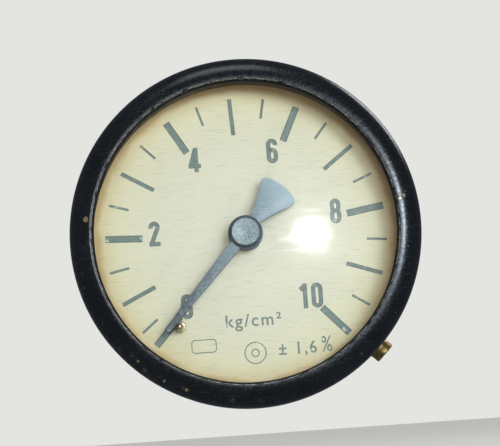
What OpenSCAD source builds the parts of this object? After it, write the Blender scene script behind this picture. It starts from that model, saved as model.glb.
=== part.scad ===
// Dial pressure gauge, nominal size 63 mm, with a threaded stem at the centre of its back.
// Each sub-part is drawn lying on its back: X to the right, Y up the dial, Z towards the reader,
// with Z = 0 at the shoulder where the stem's thread begins. front_view() then stands it up, so
// that the dial faces -Y and the origin is the centre of that shoulder.

/* [Case and bezel] */
// Outer diameter of the case
case_d = 62.1; // [61.9:0.1:62.3]
// Wall thickness of the case
case_wall = 1.2; // [1.1:0.1:1.2]
// Depth from the back of the case to the face of the dial
dial_depth = 22; // [21.9:0.1:23]
// Outer diameter of the bezel
bezel_d = 66; // [65.6:0.1:66.6]
// Clear opening of the bezel
opening_d = 57.2; // [56.8:0.1:57.4]
// Length of the bezel's skirt behind the face of the dial
skirt_back = 5.5; // [4:0.5:8]
// Where the retaining screw stands around the bezel, in degrees from X
bezel_screw_angle = -44.6; // [-60:0.1:-30]

/* [Dial and pointer] */
// Outer diameter of the dial plate
dial_d = 59.2; // [59:0.1:59.3]
// Thickness of the dial plate
dial_t = 0.8; // [0.6:0.1:0.8]
// Direction of the zero mark, in degrees from X
zero_angle = 227.8; // [226:0.05:228]
// Length of the pointer from its axis to its tip
pointer_l = 24.1; // [22:0.1:24.5]
// Width of the pointer's blade at its tip
pointer_w = 1.15; // [1.1:0.05:1.5]
// Radius at which the stop pin stands
stop_r = 21.6; // [20:0.1:22]

/* [Process connection] */
// Major diameter of the stem's thread
thread_d = 12; // [12:1:13]
// Length of the thread, its end chamfer included
thread_l = 13; // [12:0.5:16]
// Width across the flats of the wrench square
square_af = 14; // [14:1:15]
// Diameter of the pressure port
port_d = 3; // [2.8:0.1:3.2]

/* [Movement] */
// Module of the gear teeth
gear_module = 0.25; // [0.25]
// Teeth on the pinion
pinion_teeth = 12; // [12]
// Teeth that a full wheel of the sector's radius would have
sector_wheel_teeth = 108; // [108]
// Travel of the pointer from stop to full scale, in degrees
pointer_travel = 275; // [270:1:275]
// Direction from the pointer's axis to the sector's axis, in degrees
sector_direction = -60; // [-60]
// Mean radius of the bourdon tube's arc
tube_r = 20; // [20]

/* [Hidden] */

$fn = 96;
eps = 0.01;                     // overlap inside one solid, so that its pieces fuse
run = 0.05;                     // radial clearance of a running fit
slack = 0.05;                   // radial clearance of parts that only drop into each other

// Stations along the axis
square_l = 8;                   // wrench square
case_back = square_l + 1;       // outer face of the case's back
case_floor = case_back + case_wall;
gasket_t = 0.5;                 // fibre washer under the stem's flange
flange_z = case_floor + gasket_t;
flange_t = 3;
boss_z = flange_z + flange_t;
seat_z = boss_z + 5;            // top of the stem's boss, where the movement stands
dial_z = case_back + dial_depth; // face of the dial
glass_gap = 5.2;                // free height between dial and glass
glass_t = 2;
glass_z = dial_z + glass_gap;
lip_gasket_t = 0.4;
lip_z = glass_z + glass_t + lip_gasket_t; // underside of the bezel's lip

// Case and bezel
case_r = case_d / 2;
case_in_r = case_r - case_wall;
case_corner_r = 4;
case_rim_z = lip_z - 0.6;
ledge_r = 28.3;
ledge_t = 1;
neck_r = 9;                     // corners of the wrench square, and the neck behind them
case_screw_r = 1.5;
case_screw_circle_r = 11.8;
case_screw_angles = [30, 150, 270];
case_screw_head_r = 2.6;
case_screw_head_t = 1.6;
bezel_r = bezel_d / 2;
lip_r = opening_d / 2;
crown_r = 3.4;                  // radius of the bezel's rounded front corner
crown_z = lip_z + 1.2;          // highest line of the bezel
lip_edge_r = 0.5;               // rounding of the lip's inner edge
skirt_z = dial_z - skirt_back;
skirt_in_r = case_r + slack;
bezel_screw_z = dial_z + 0.5;
bezel_screw_shank_r = 1;
bezel_screw_head_r = 2.05;
bezel_screw_head_t = 1.3;
bezel_washer_r = 2.1;
bezel_washer_t = 0.5;
slot_w = 0.5;
glass_r = case_in_r - 0.1;
glass_edge = 0.3;               // chamfer round the glass
seat_ring_t = 0.75;

// Dial
dial_hole_r = 2.6;
stop_collar_r = 1.1;
stop_collar_t = 0.5;
stop_rivet_t = 0.3;             // the pin is riveted over behind the dial

// Pointer
blade_z = dial_z + 3.2;
blade_t = 0.6;
hub_r = 3.1;
hub_top_z = dial_z + 4.7;
hub_sleeve_r = 3.28;            // bushing of the hub, below the blade
hub_sleeve_z = dial_z + 0.6;
hub_spigot_r = 1.5;
arbor_r = 0.8;
blade_mid_u = 10;               // where the blade is measured between its hub and its tip
blade_mid_half_w = 0.93;
blade_eye_r = 2.4;              // round part of the blade, under the hub's cap
tail_l = 11.25;
tail_neck_half_w = 1.2;
flare_start = 3;                // the tail widens from here to flare_end
flare_end = 9.14;
flare_half_w = 3.616;
flare_power = 1.3;
flare_steps = 8;
tail_corner = [-9.715, 2.563];  // centre of the tail's rounded corner
tail_corner_r = 1.2;
hub_bevel = 0.5;
stop_pin_r = 0.65;
stop_gap = 0.01;
tip_centre_u = pointer_l - pointer_w / 2;
blade_half_w_at_stop = lerp(blade_mid_half_w, pointer_w / 2,
                            (stop_r - blade_mid_u) / (tip_centre_u - blade_mid_u));
stop_angle = zero_angle + asin((stop_pin_r + blade_half_w_at_stop + stop_gap) / stop_r);

// Gear pair
pressure_angle = 25;
flank_steps = 6;
backlash = 0.015;               // taken off each flank, along the pitch circle
pinion_r = gear_module * pinion_teeth / 2;
sector_r = gear_module * sector_wheel_teeth / 2;
centre_distance = pinion_r + sector_r;
sector_axis = centre_distance * unit(sector_direction);
mesh_direction = sector_direction + 180;
sector_travel = pointer_travel * pinion_teeth / sector_wheel_teeth;
tooth_step = 360 / sector_wheel_teeth;
first_tooth = -11;              // tooth spaces counted clockwise from the mesh at rest
last_tooth = 2;

// Plates of the movement
plate_t = 1.2;
pillar_l = 6.5;
pillar_r = 1.25;
back_plate_z = seat_z;
pillar_z = back_plate_z + plate_t;
front_plate_z = pillar_z + pillar_l;
pillar_points = [9.5 * unit(mesh_direction), sector_axis + 5 * unit(48), sector_axis + 5.5 * unit(236)];
plate_neck_w = 6.4;             // widths of the plates' arms
plate_waist_w = 9;
plate_arm_w = 5;
plate_ear_w = 4.4;
plate_ear_l = 7.2;
movement_screw_circle_r = 4.6;
movement_screw_points = [movement_screw_circle_r * unit(sector_direction),
                         movement_screw_circle_r * unit(mesh_direction)];
rivet_r = 0.75;
plate_screw_r = 0.6;
plate_screw_head_r = 1.2;
movement_screw_r = 0.8;
movement_screw_head_r = 1.5;
sector_z = pillar_z + 1.1;
sector_t = 1.2;
pinion_z = sector_z - 0.3;
pinion_l = sector_t + 0.8;
pinion_pivot_r = 0.4;
sector_arbor_r = 1.2;
sector_pivot_r = 0.5;
sector_rim_t = 1.5;
sector_boss_r = 2.7;
sector_window_r = 5;            // inner end of the window between the spokes
sector_spoke = 7;               // width of each spoke, in degrees

// Sector's tail, link and the tube's tip
tail_arm = 5.5;
tail_root_half_w = 1.9;
tail_end_half_w = 1.1;
tail_mid_direction = -31;
tail_direction = tail_mid_direction - sector_travel / 2;
link_z = sector_z + sector_t + 0.2;
link_t = 0.8;
link_w = 2.2;
link_eye_r = 1.4;
link_start = sector_axis + tail_arm * unit(tail_direction);
link_end = 19 * unit(-32);
rivet_pin_r = 0.5;
tip_pin_r = 0.4;
open_pivot_clearance = 0.2;     // the linkage is opened at the link's outer eye

// Hairspring
spring_z = front_plate_z - 2;
spring_h = 0.8;
spring_t = 0.14;
spring_in_r = 2.15;
spring_out_r = 6.2;
spring_turns = 5;
spring_steps = 36;              // points in each turn
spring_end_angle = 60;
collet_r = 2;
stud_r = 0.6;

// Bourdon tube: a flattened tube bent to an arc, from its foot in the stem to its tip
tube_z = seat_z + 0.5;          // centre line
tube_t = 3.6;                   // outer thickness, across the arc
tube_w = 9;                     // outer width, along the gauge's axis
tube_wall = 0.35;
foot_direction = -115;
tip_direction = -20;
tube_sweep = 360 - (tip_direction - foot_direction);
foot_depth = 7;                 // degrees of the tube that stand in the stem's slot
foot_block_half = 7;
foot_block_z = tube_z + 5.2;
port_direction = foot_direction + 4.5;
port_floor_z = boss_z + 2.5;
cross_port_r = 1;
tip_block_sweep = 5;            // degrees of arc that the tip's block takes up
tip_plug_sweep = 3;
tip_block_t = 4.2;
tip_block_w = 9.6;
tip_lug_w = 2.6;

// Stem
flange_r = 14;
boss_r = 7.5;
thread_r = thread_d / 2;
thread_chamfer = 1;
pilot_l = 2;
pilot_r = 2.5;
square_chamfer = 0.2;           // turned off the square's corners at both ends
foot_arm_start = 5;
foot_arm_w = 9;
foot_block_t = 7.6;
restrictor_r = port_d / 2 - slack;
restrictor_bore_r = 0.3;
restrictor_l = 4;
restrictor_slot_w = 0.6;

function unit(a) = [cos(a), sin(a)];
function involute_angle(a) = tan(a) * 180 / PI - a;
function polar_angle_of(r, base_r) = involute_angle(acos(min(1, base_r / r)));
function lerp(a, b, t) = a + (b - a) * t;

// One tooth centred on direction 0, for a wheel of n teeth; root_in sinks its foot into the rim.
function tooth_points(n, root_r, root_in) =
    let (pitch_r = gear_module * n / 2,
         base_r = pitch_r * cos(pressure_angle),
         tip_r = pitch_r + gear_module,
         start_r = max(base_r, root_r),
         half = 90 / n - backlash / pitch_r * 180 / PI + involute_angle(pressure_angle),
         flank = [for (i = [0:flank_steps])
                  let (r = lerp(start_r, tip_r, i / flank_steps))
                  [r, half - polar_angle_of(r, base_r)]],
         foot = [root_r - root_in, flank[0][1]])
    concat([foot[0] * unit(-foot[1])],
           [for (p = flank) p[0] * unit(-p[1])],
           [for (i = [flank_steps:-1:0]) flank[i][0] * unit(flank[i][1])],
           [foot[0] * unit(foot[1])]);

// Points of a flat spiral strip from its inner end to its outer end and back.
function spiral_edge(offset_r) =
    [for (i = [0:spring_turns * spring_steps])
     let (f = i / (spring_turns * spring_steps),
          a = spring_end_angle - 360 * spring_turns * (1 - f))
     (lerp(spring_in_r, spring_out_r, f) + offset_r) * unit(a)];

function reversed(v) = [for (i = [len(v) - 1:-1:0]) v[i]];

module front_view() { rotate([90, 0, 0]) children(); }
module at(p, z = 0) { translate([p[0], p[1], z]) children(); }
module turned(a) { rotate([0, 0, a]) children(); }
module disc(r, z0, z1) { translate([0, 0, z0]) cylinder(r = r, h = z1 - z0); }

module cone(r0, r1, z0, z1) { translate([0, 0, z0]) cylinder(r1 = r0, r2 = r1, h = z1 - z0); }

module ring(r_in, r_out, z0, z1) {
    difference() {
        disc(r_out, z0, z1);
        disc(r_in, z0 - 1, z1 + 1);
    }
}

// Flat bar with round ends between two points.
module bar(p, q, w) {
    d = q - p;
    translate(p) circle(d = w);
    translate(q) circle(d = w);
    translate(p) rotate(atan2(d[1], d[0])) translate([0, -w / 2]) square([norm(d), w]);
}

// Slotted screw that points along -Z with its head's underside at z = 0.
module slotted_screw(shank_r, shank_l, head_r, head_t, bevel) {
    difference() {
        union() {
            disc(shank_r, -shank_l, eps);
            disc(head_r, 0, head_t - bevel);
            cone(head_r, head_r - bevel, head_t - bevel, head_t);
        }
        translate([-head_r - 1, -slot_w / 2, head_t * 0.5]) cube([2 * head_r + 2, slot_w, head_t]);
    }
}

// ---- Case, bezel, window ----

module case_profile() {
    difference() {
        union() {
            square([case_r - case_corner_r, case_rim_z - case_back]);
            translate([0, case_corner_r]) square([case_r, case_rim_z - case_back - case_corner_r]);
            translate([case_r - case_corner_r, case_corner_r]) circle(r = case_corner_r);
        }
        inner_corner_r = case_corner_r - case_wall;
        translate([0, case_wall]) square([case_r - case_corner_r, case_rim_z]);
        translate([0, case_corner_r]) square([case_in_r, case_rim_z]);
        translate([case_r - case_corner_r, case_corner_r]) circle(r = inner_corner_r);
    }
    // Ledge that the dial rests on
    translate([ledge_r, dial_z - dial_t - ledge_t - case_back]) square([case_in_r - ledge_r + eps, ledge_t]);
}

module case() {
    color("#15181d") front_view() difference() {
        translate([0, 0, case_back]) rotate_extrude() case_profile();
        disc(neck_r + 0.15, case_back - 1, case_floor + 1);
        for (a = case_screw_angles)
            at(case_screw_circle_r * unit(a)) disc(case_screw_r + slack, case_back - 1, case_floor + 1);
        bezel_screw_hole();
    }
}

module bezel_screw_hole() {
    turned(bezel_screw_angle) translate([case_in_r - 1, 0, bezel_screw_z]) rotate([0, 90, 0])
        cylinder(r = bezel_screw_shank_r + slack, h = bezel_r);
}

module bezel_profile() {
    skirt_round = (bezel_r - skirt_in_r) / 2;
    corner_z = crown_z - crown_r;
    corner_x = bezel_r - crown_r;
    translate([lip_r + lip_edge_r, crown_z - lip_edge_r]) circle(r = lip_edge_r);
    translate([lip_r, lip_z]) square([2 * lip_edge_r, crown_z - lip_edge_r - lip_z]);
    translate([lip_r + lip_edge_r, lip_z]) square([corner_x - lip_r - lip_edge_r, crown_z - lip_z]);
    difference() {
        union() {
            translate([corner_x, corner_z]) circle(r = crown_r);
            translate([skirt_in_r, skirt_z + skirt_round])
                square([bezel_r - skirt_in_r, corner_z - skirt_z - skirt_round]);
        }
        translate([corner_x - crown_r - 1, corner_z - crown_r - 1])
            square([skirt_in_r - corner_x + crown_r + 1, lip_z - corner_z + crown_r + 1]);
    }
    translate([skirt_in_r + skirt_round, skirt_z + skirt_round]) circle(r = skirt_round);
}

module bezel_ring() {
    color("#1b2028") front_view() difference() {
        rotate_extrude() bezel_profile();
        bezel_screw_hole();
    }
}

module bezel_screw() {
    color("#b9a26a") front_view() turned(bezel_screw_angle)
        translate([bezel_r + bezel_washer_t, 0, bezel_screw_z]) rotate([0, 90, 0]) turned(25)
            slotted_screw(bezel_screw_shank_r, bezel_r + bezel_washer_t - case_in_r - 0.1,
                          bezel_screw_head_r, bezel_screw_head_t, 0.2);
}

module bezel_screw_washer() {
    color("#b9a26a") front_view() turned(bezel_screw_angle)
        translate([bezel_r, 0, bezel_screw_z]) rotate([0, 90, 0]) difference() {
            cylinder(r = bezel_washer_r, h = bezel_washer_t);
            translate([0, 0, -1]) cylinder(r = bezel_screw_shank_r + slack, h = bezel_washer_t + 2);
        }
}

module glass() {
    color("#cfe0e6", 0.35) front_view() {
        cone(glass_r - glass_edge, glass_r, glass_z, glass_z + glass_edge);
        disc(glass_r, glass_z + glass_edge, glass_z + glass_t - glass_edge);
        cone(glass_r, glass_r - glass_edge, glass_z + glass_t - glass_edge, glass_z + glass_t);
    }
}

module glass_gasket() {
    color("#101010") front_view() ring(lip_r - 0.35, case_in_r - 0.15, glass_z + glass_t, lip_z);
}

module seat_ring() {
    color("#2a2420") front_view() ring(case_in_r - slack - seat_ring_t, case_in_r - slack, dial_z, glass_z);
}

// ---- Dial ----

module dial_plate() {
    color("#ddd6a8") front_view() difference() {
        disc(dial_d / 2, dial_z - dial_t, dial_z);
        disc(dial_hole_r, dial_z - 2, dial_z + 1);
        at(stop_r * unit(stop_angle)) disc(stop_pin_r + slack, dial_z - 2, dial_z + 1);
    }
}

module stop_pin() {
    top_z = blade_z + blade_t + 0.5;
    dial_back_z = dial_z - dial_t;
    color("#b8975a") front_view() at(stop_r * unit(stop_angle)) {
        disc(stop_pin_r, dial_back_z - stop_rivet_t, top_z - stop_pin_r);
        translate([0, 0, top_z - stop_pin_r]) difference() {
            sphere(r = stop_pin_r);
            disc(2 * stop_pin_r, -2 * stop_pin_r, -eps);
        }
        disc(stop_collar_r, dial_z, dial_z + stop_collar_t);
        disc(stop_collar_r, dial_back_z - stop_rivet_t, dial_back_z);
    }
}

// ---- Pointer, drawn along X and turned to the zero mark ----

module pointer_outline() {
    flare = [for (i = [0:flare_steps]) let (f = i / flare_steps)
             [-lerp(flare_start, flare_end, f),
              lerp(tail_neck_half_w, flare_half_w, pow(f, flare_power))]];
    half_tip = pointer_w / 2;
    side = 61.4;                // directions from the corner's centre, in degrees from X
    end = 180 - atan(tail_corner[1] / -tail_corner[0]);
    corner = [for (f = [0.2:0.2:0.8]) tail_corner + tail_corner_r * unit(lerp(side, end, f))];
    arc = [for (f = [0:0.125:0.875]) tail_l * unit(lerp(end, 180, f))];
    upper = concat([[tip_centre_u, half_tip], [blade_mid_u, blade_mid_half_w]], flare, corner, arc);
    difference() {
        union() {
            polygon(concat(upper, [[-tail_l, 0]], reversed([for (p = upper) [p[0], -p[1]]])));
            circle(r = blade_eye_r);
            translate([tip_centre_u, 0]) circle(r = half_tip);
        }
        circle(r = hub_spigot_r + eps);
    }
}

module pointer() {
    color("#3d454c") front_view() translate([0, 0, blade_z]) turned(zero_angle)
        linear_extrude(blade_t) pointer_outline();
}

module pointer_hub() {
    cap_z = blade_z + blade_t;
    color("#8d939b") front_view() difference() {
        union() {
            disc(hub_sleeve_r, hub_sleeve_z, blade_z);
            disc(hub_spigot_r, blade_z - eps, cap_z + eps);
            disc(hub_r, cap_z, hub_top_z - hub_bevel);
            cone(hub_r, hub_r - hub_bevel, hub_top_z - hub_bevel, hub_top_z);
        }
        disc(arbor_r + eps, hub_sleeve_z - 1, hub_top_z - 0.8);
    }
}

// ---- Movement ----

module pinion_arbor() {
    root_r = pinion_r - 1.25 * gear_module;
    color("#9aa0a6") front_view() {
        disc(pinion_pivot_r, back_plate_z + 0.1, pinion_z);
        disc(arbor_r, pinion_z + pinion_l, hub_top_z - 1);
        translate([0, 0, pinion_z]) linear_extrude(pinion_l) {
            circle(r = root_r);
            for (i = [0:pinion_teeth - 1])
                rotate(sector_direction + 360 / pinion_teeth * i)
                    polygon(tooth_points(pinion_teeth, root_r, 0.1));
        }
    }
}

module hairspring_collet() {
    color("#b79a58") front_view() ring(arbor_r + eps, collet_r, spring_z - 0.2, spring_z + spring_h + 0.2);
}

module hairspring() {
    color("#c9a35e") front_view() translate([0, 0, spring_z]) linear_extrude(spring_h)
        polygon(concat(spiral_edge(spring_t / 2), reversed(spiral_edge(-spring_t / 2))));
}

module hairspring_stud() {
    stud_circle_r = spring_out_r + spring_t / 2 + stud_r + 0.02;
    color("#b79a58") front_view() at(stud_circle_r * unit(spring_end_angle - 2))
        disc(stud_r, spring_z - 0.2, front_plate_z);
}

module plate_outline() {
    bar(pillar_points[0], [0, 0], plate_neck_w);
    bar([0, 0], sector_axis, plate_waist_w);
    bar(sector_axis, pillar_points[1], plate_arm_w);
    bar(sector_axis, pillar_points[2], plate_arm_w);
    // Ear that carries the hairspring's stud
    bar([0, 0], plate_ear_l * unit(spring_end_angle), plate_ear_w);
}

module movement_plate(z, hole_r) {
    translate([0, 0, z]) linear_extrude(plate_t) difference() {
        plate_outline();
        for (p = pillar_points) translate(p) circle(r = hole_r);
        children();
    }
}

module movement_back_plate() {
    color("#b89a55") front_view() movement_plate(back_plate_z, rivet_r + eps) {
        circle(r = pinion_pivot_r + run);
        translate(sector_axis) circle(r = sector_pivot_r + run);
        for (p = movement_screw_points) translate(p) circle(r = movement_screw_r + slack);
    }
}

module movement_front_plate() {
    color("#b89a55") front_view() movement_plate(front_plate_z, plate_screw_r + slack) {
        circle(r = arbor_r + run);
        translate(sector_axis) circle(r = sector_pivot_r + run);
    }
}

module movement_pillars() {
    color("#c2a865") front_view()
        for (p = pillar_points) at(p) difference() {
            union() {
                disc(pillar_r, pillar_z, front_plate_z);
                disc(rivet_r, back_plate_z, pillar_z + eps);
            }
            disc(plate_screw_r + slack, front_plate_z - 3, front_plate_z + 1);
        }
}

module front_plate_screws() {
    color("#8b9096") front_view()
        for (p = pillar_points)
            at(p, front_plate_z + plate_t) turned(35)
                slotted_screw(plate_screw_r, plate_t + 2.6, plate_screw_head_r, 0.9, 0.15);
}

module movement_screws() {
    color("#8b9096") front_view()
        for (p = movement_screw_points)
            at(p, pillar_z) turned(70)
                slotted_screw(movement_screw_r, plate_t + 3, movement_screw_head_r, 0.95, 0.15);
}

module sector_outline() {
    root_r = sector_r - 1.25 * gear_module;
    rim_in_r = root_r - sector_rim_t;
    low = tooth_step * (first_tooth - 0.1);
    high = tooth_step * (last_tooth + 1.1);
    reach = 2 * sector_r;
    difference() {
        intersection() {
            circle(r = root_r);
            polygon([[0, 0], reach * unit(low), reach * unit(high)]);
        }
        // Window between the two spokes
        difference() {
            intersection() {
                circle(r = rim_in_r);
                polygon([[0, 0], reach * unit(low + sector_spoke), reach * unit(high - sector_spoke)]);
            }
            circle(r = sector_window_r);
        }
    }
    for (i = [first_tooth:last_tooth])
        rotate(tooth_step * (i + 0.5)) polygon(tooth_points(sector_wheel_teeth, root_r, 0.2));
    circle(r = sector_boss_r);
}

module sector_gear() {
    color("#c4a45a") front_view() at(sector_axis, sector_z) linear_extrude(sector_t) difference() {
        union() {
            rotate(mesh_direction) sector_outline();
            rotate(tail_direction) {
                polygon([[0, -tail_root_half_w], [tail_arm, -tail_end_half_w],
                         [tail_arm, tail_end_half_w], [0, tail_root_half_w]]);
                translate([tail_arm, 0]) circle(r = link_eye_r);
            }
        }
        circle(r = sector_arbor_r + eps);
        translate(tail_arm * unit(tail_direction)) circle(r = rivet_pin_r + eps);
    }
}

module sector_arbor() {
    color("#9aa0a6") front_view() at(sector_axis) {
        disc(sector_arbor_r, pillar_z + 0.1, front_plate_z - 0.1);
        disc(sector_pivot_r, back_plate_z + 0.1, front_plate_z + plate_t);
    }
}

module sector_link_rivet() {
    color("#8b9096") front_view() at(link_start) {
        disc(rivet_pin_r, sector_z, link_z + link_t + 0.15);
        disc(0.95, link_z + link_t + 0.1, link_z + link_t + 0.5);
    }
}

module link() {
    color("#a8acb0") front_view() translate([0, 0, link_z]) linear_extrude(link_t) difference() {
        union() {
            bar(link_start, link_end, link_w);
            translate(link_start) circle(r = link_eye_r);
            translate(link_end) circle(r = link_eye_r);
        }
        translate(link_start) circle(r = rivet_pin_r + run);
        translate(link_end) circle(r = tip_pin_r + open_pivot_clearance);
    }
}

// ---- Bourdon tube and its tip ----

// Flattened tube section, at its place along the gauge's radius and axis; shrink moves its wall in.
module tube_section(shrink = 0) {
    round_r = tube_t / 2 - shrink;
    reach = (tube_w - tube_t) / 2;
    translate([tube_r, tube_z]) {
        for (s = [-1, 1]) translate([0, s * reach]) circle(r = round_r);
        square([2 * round_r, 2 * reach], center = true);
    }
}

module bourdon_tube() {
    color("#b98d5a") front_view() turned(tip_direction)
        rotate_extrude(angle = tube_sweep) difference() {
            tube_section();
            tube_section(tube_wall);
        }
}

module tube_tip() {
    color("#bf9a52") front_view() {
        turned(tip_direction - tip_block_sweep) rotate_extrude(angle = tip_block_sweep)
            translate([tube_r, tube_z]) square([tip_block_t, tip_block_w], center = true);
        turned(tip_direction - 0.2) rotate_extrude(angle = tip_plug_sweep)
            tube_section(tube_wall + slack);
        // Lug for the link's screw
        translate([0, 0, sector_z + 0.2]) linear_extrude(sector_t - 0.2)
            bar((tube_r - 0.4) * unit(tip_direction - tip_block_sweep / 2), link_end, tip_lug_w);
    }
}

module tip_link_screw() {
    top = link_z + link_t + 0.1;
    color("#8b9096") front_view() at(link_end, top) turned(10)
        slotted_screw(tip_pin_r, top - sector_z - sector_t, 1, 0.6, 0.1);
}

// ---- Stem and its fasteners ----

module stem_outside() {
    corner_r = square_af / 2 - square_chamfer;
    disc(thread_r, thread_chamfer - thread_l, eps);
    cone(thread_r - thread_chamfer, thread_r, -thread_l, thread_chamfer - thread_l);
    disc(pilot_r, -thread_l - pilot_l, -thread_l + eps);
    intersection() {
        translate([-square_af / 2, -square_af / 2, 0]) cube([square_af, square_af, square_l]);
        disc(neck_r, 0, square_l);
        cone(corner_r, corner_r + square_af, 0, square_l);
        cone(corner_r + square_af, corner_r, 0, square_l);
    }
    disc(neck_r, square_l - eps, flange_z + eps);
    disc(flange_r, flange_z, boss_z);
    disc(boss_r, boss_z - eps, seat_z);
    // Arm and block that hold the foot of the tube
    turned(foot_direction) translate([foot_arm_start, -foot_arm_w / 2, boss_z - eps])
        cube([tube_r - foot_block_t / 2 + 1.3 - foot_arm_start, foot_arm_w, seat_z - boss_z]);
    turned(foot_direction - foot_block_half) rotate_extrude(angle = 2 * foot_block_half)
        translate([tube_r - foot_block_t / 2, boss_z - eps]) square([foot_block_t, foot_block_z - boss_z]);
}

module stem() {
    color("#b08d4a") front_view() difference() {
        stem_outside();
        // Pressure port: up the axis, along the arm, and round into the foot of the tube
        disc(port_d / 2, -thread_l - 3, port_floor_z);
        turned(port_direction) translate([0, 0, port_floor_z - cross_port_r]) rotate([0, 90, 0])
            cylinder(r = cross_port_r, h = tube_r);
        turned(port_direction - 2.6) rotate_extrude(angle = 3.4) tube_section(tube_wall);
        turned(foot_direction - foot_block_half - 1) rotate_extrude(angle = foot_depth + 2.02)
            tube_section(-slack);
        for (a = case_screw_angles)
            at(case_screw_circle_r * unit(a)) disc(case_screw_r + slack, flange_z - 1, boss_z - 0.1);
        for (p = movement_screw_points) at(p) disc(movement_screw_r + slack, seat_z - 4, seat_z + 1);
    }
}

module stem_gasket() {
    color("#7a5a3c") front_view() difference() {
        ring(neck_r + slack, flange_r, case_floor, flange_z);
        for (a = case_screw_angles)
            at(case_screw_circle_r * unit(a)) disc(case_screw_r + slack, case_floor - 1, flange_z + 1);
    }
}

module case_screws() {
    color("#9aa0a6") front_view()
        for (a = case_screw_angles)
            at(case_screw_circle_r * unit(a), case_back) turned(a + 40) rotate([180, 0, 0])
                slotted_screw(case_screw_r, boss_z - case_back - 0.4, case_screw_head_r,
                              case_screw_head_t, 0.3);
}

module restrictor_screw() {
    end_z = 0.4 - thread_l - pilot_l;
    slot_depth = 0.8;
    color("#c7a45c") front_view() difference() {
        disc(restrictor_r, end_z, end_z + restrictor_l);
        disc(restrictor_bore_r, end_z - 1, end_z + restrictor_l + 1);
        translate([-port_d, -restrictor_slot_w / 2, end_z - 1])
            cube([2 * port_d, restrictor_slot_w, 1 + slot_depth]);
    }
}

case();
bezel_ring();
bezel_screw();
bezel_screw_washer();
glass();
glass_gasket();
seat_ring();
dial_plate();
stop_pin();
pointer();
pointer_hub();
pinion_arbor();
hairspring_collet();
hairspring();
hairspring_stud();
movement_back_plate();
movement_front_plate();
movement_pillars();
front_plate_screws();
movement_screws();
sector_gear();
sector_arbor();
sector_link_rivet();
link();
tube_tip();
tip_link_screw();
bourdon_tube();
stem();
stem_gasket();
case_screws();
restrictor_screw();
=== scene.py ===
"""Dial pressure gauge of nominal size 63 mm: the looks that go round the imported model.

New pieces are drawn in millimetres in the dial's own frame: X to the right, Y up the dial and Z
towards the reader, with Z = 0 at the shoulder where the stem's thread begins. STAND then stands
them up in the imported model's frame, in metres, where the dial faces -Y.
"""

import logging
import math
from dataclasses import dataclass, field
from enum import Enum
from typing import Any, Iterable, Sequence

import bmesh
import bpy
from mathutils import Matrix, Quaternion, Vector


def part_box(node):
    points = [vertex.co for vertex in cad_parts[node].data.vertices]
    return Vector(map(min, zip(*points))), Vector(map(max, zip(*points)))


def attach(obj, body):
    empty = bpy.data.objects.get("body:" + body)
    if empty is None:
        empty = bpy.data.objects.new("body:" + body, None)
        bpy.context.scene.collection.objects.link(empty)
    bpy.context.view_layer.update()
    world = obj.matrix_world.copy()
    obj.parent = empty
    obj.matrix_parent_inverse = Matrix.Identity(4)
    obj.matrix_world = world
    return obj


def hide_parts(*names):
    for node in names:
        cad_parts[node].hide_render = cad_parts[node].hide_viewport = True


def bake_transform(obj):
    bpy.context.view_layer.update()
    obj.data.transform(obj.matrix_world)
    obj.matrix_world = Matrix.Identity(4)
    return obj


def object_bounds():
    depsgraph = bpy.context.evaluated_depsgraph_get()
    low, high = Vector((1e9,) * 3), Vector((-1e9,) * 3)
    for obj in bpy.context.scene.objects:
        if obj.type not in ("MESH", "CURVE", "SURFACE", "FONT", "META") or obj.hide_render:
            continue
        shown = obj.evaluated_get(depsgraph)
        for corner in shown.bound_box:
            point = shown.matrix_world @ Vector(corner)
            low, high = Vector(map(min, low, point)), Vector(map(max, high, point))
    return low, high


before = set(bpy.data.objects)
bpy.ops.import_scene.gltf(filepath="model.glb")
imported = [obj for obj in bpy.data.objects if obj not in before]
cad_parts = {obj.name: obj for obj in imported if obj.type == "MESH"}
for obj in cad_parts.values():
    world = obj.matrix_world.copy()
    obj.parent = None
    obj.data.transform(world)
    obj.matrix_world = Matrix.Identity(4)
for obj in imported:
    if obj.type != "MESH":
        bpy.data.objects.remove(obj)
cad_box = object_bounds()

LOG = logging.getLogger("gauge")
MM = 0.001
TOUCH = 0.0005  # mm: points nearer than this are one point
STAND = Matrix.Scale(MM, 4) @ Matrix.Rotation(math.pi / 2, 4, "X")
SMOOTH_UNDER = math.radians(32)  # edges sharper than this show as edges
MIX_A, MIX_B = 6, 7  # a Mix node's two colour inputs


class Body(str, Enum):
    """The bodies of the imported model."""

    GAUGE = "gauge_body"
    POINTER = "pointer_shaft"
    TUBE_END = "tube_end"


class Kind(str, Enum):
    """The shader nodes in use."""

    BACKGROUND = "ShaderNodeBackground"
    BUMP = "ShaderNodeBump"
    COORDINATES = "ShaderNodeTexCoord"
    GEOMETRY = "ShaderNodeNewGeometry"
    LIGHT_PATH = "ShaderNodeLightPath"
    MAPPING = "ShaderNodeMapping"
    MATH = "ShaderNodeMath"
    MIX = "ShaderNodeMix"
    MIX_SHADER = "ShaderNodeMixShader"
    NOISE = "ShaderNodeTexNoise"
    OUTPUT = "ShaderNodeOutputMaterial"
    PRINCIPLED = "ShaderNodeBsdfPrincipled"
    RAMP = "ShaderNodeValToRGB"
    RANGE = "ShaderNodeMapRange"
    REFRACTION = "ShaderNodeBsdfRefraction"
    SEPARATE = "ShaderNodeSeparateXYZ"
    TRANSPARENT = "ShaderNodeBsdfTransparent"
    UV = "ShaderNodeUVMap"
    VECTOR = "ShaderNodeVectorMath"
    VORONOI = "ShaderNodeTexVoronoi"
    WORLD_OUTPUT = "ShaderNodeOutputWorld"


class Lay(str, Enum):
    """How the tool marks of a metal run."""

    TURNED = "turned"
    ROLLED = "rolled"
    CAST = "cast"


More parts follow.
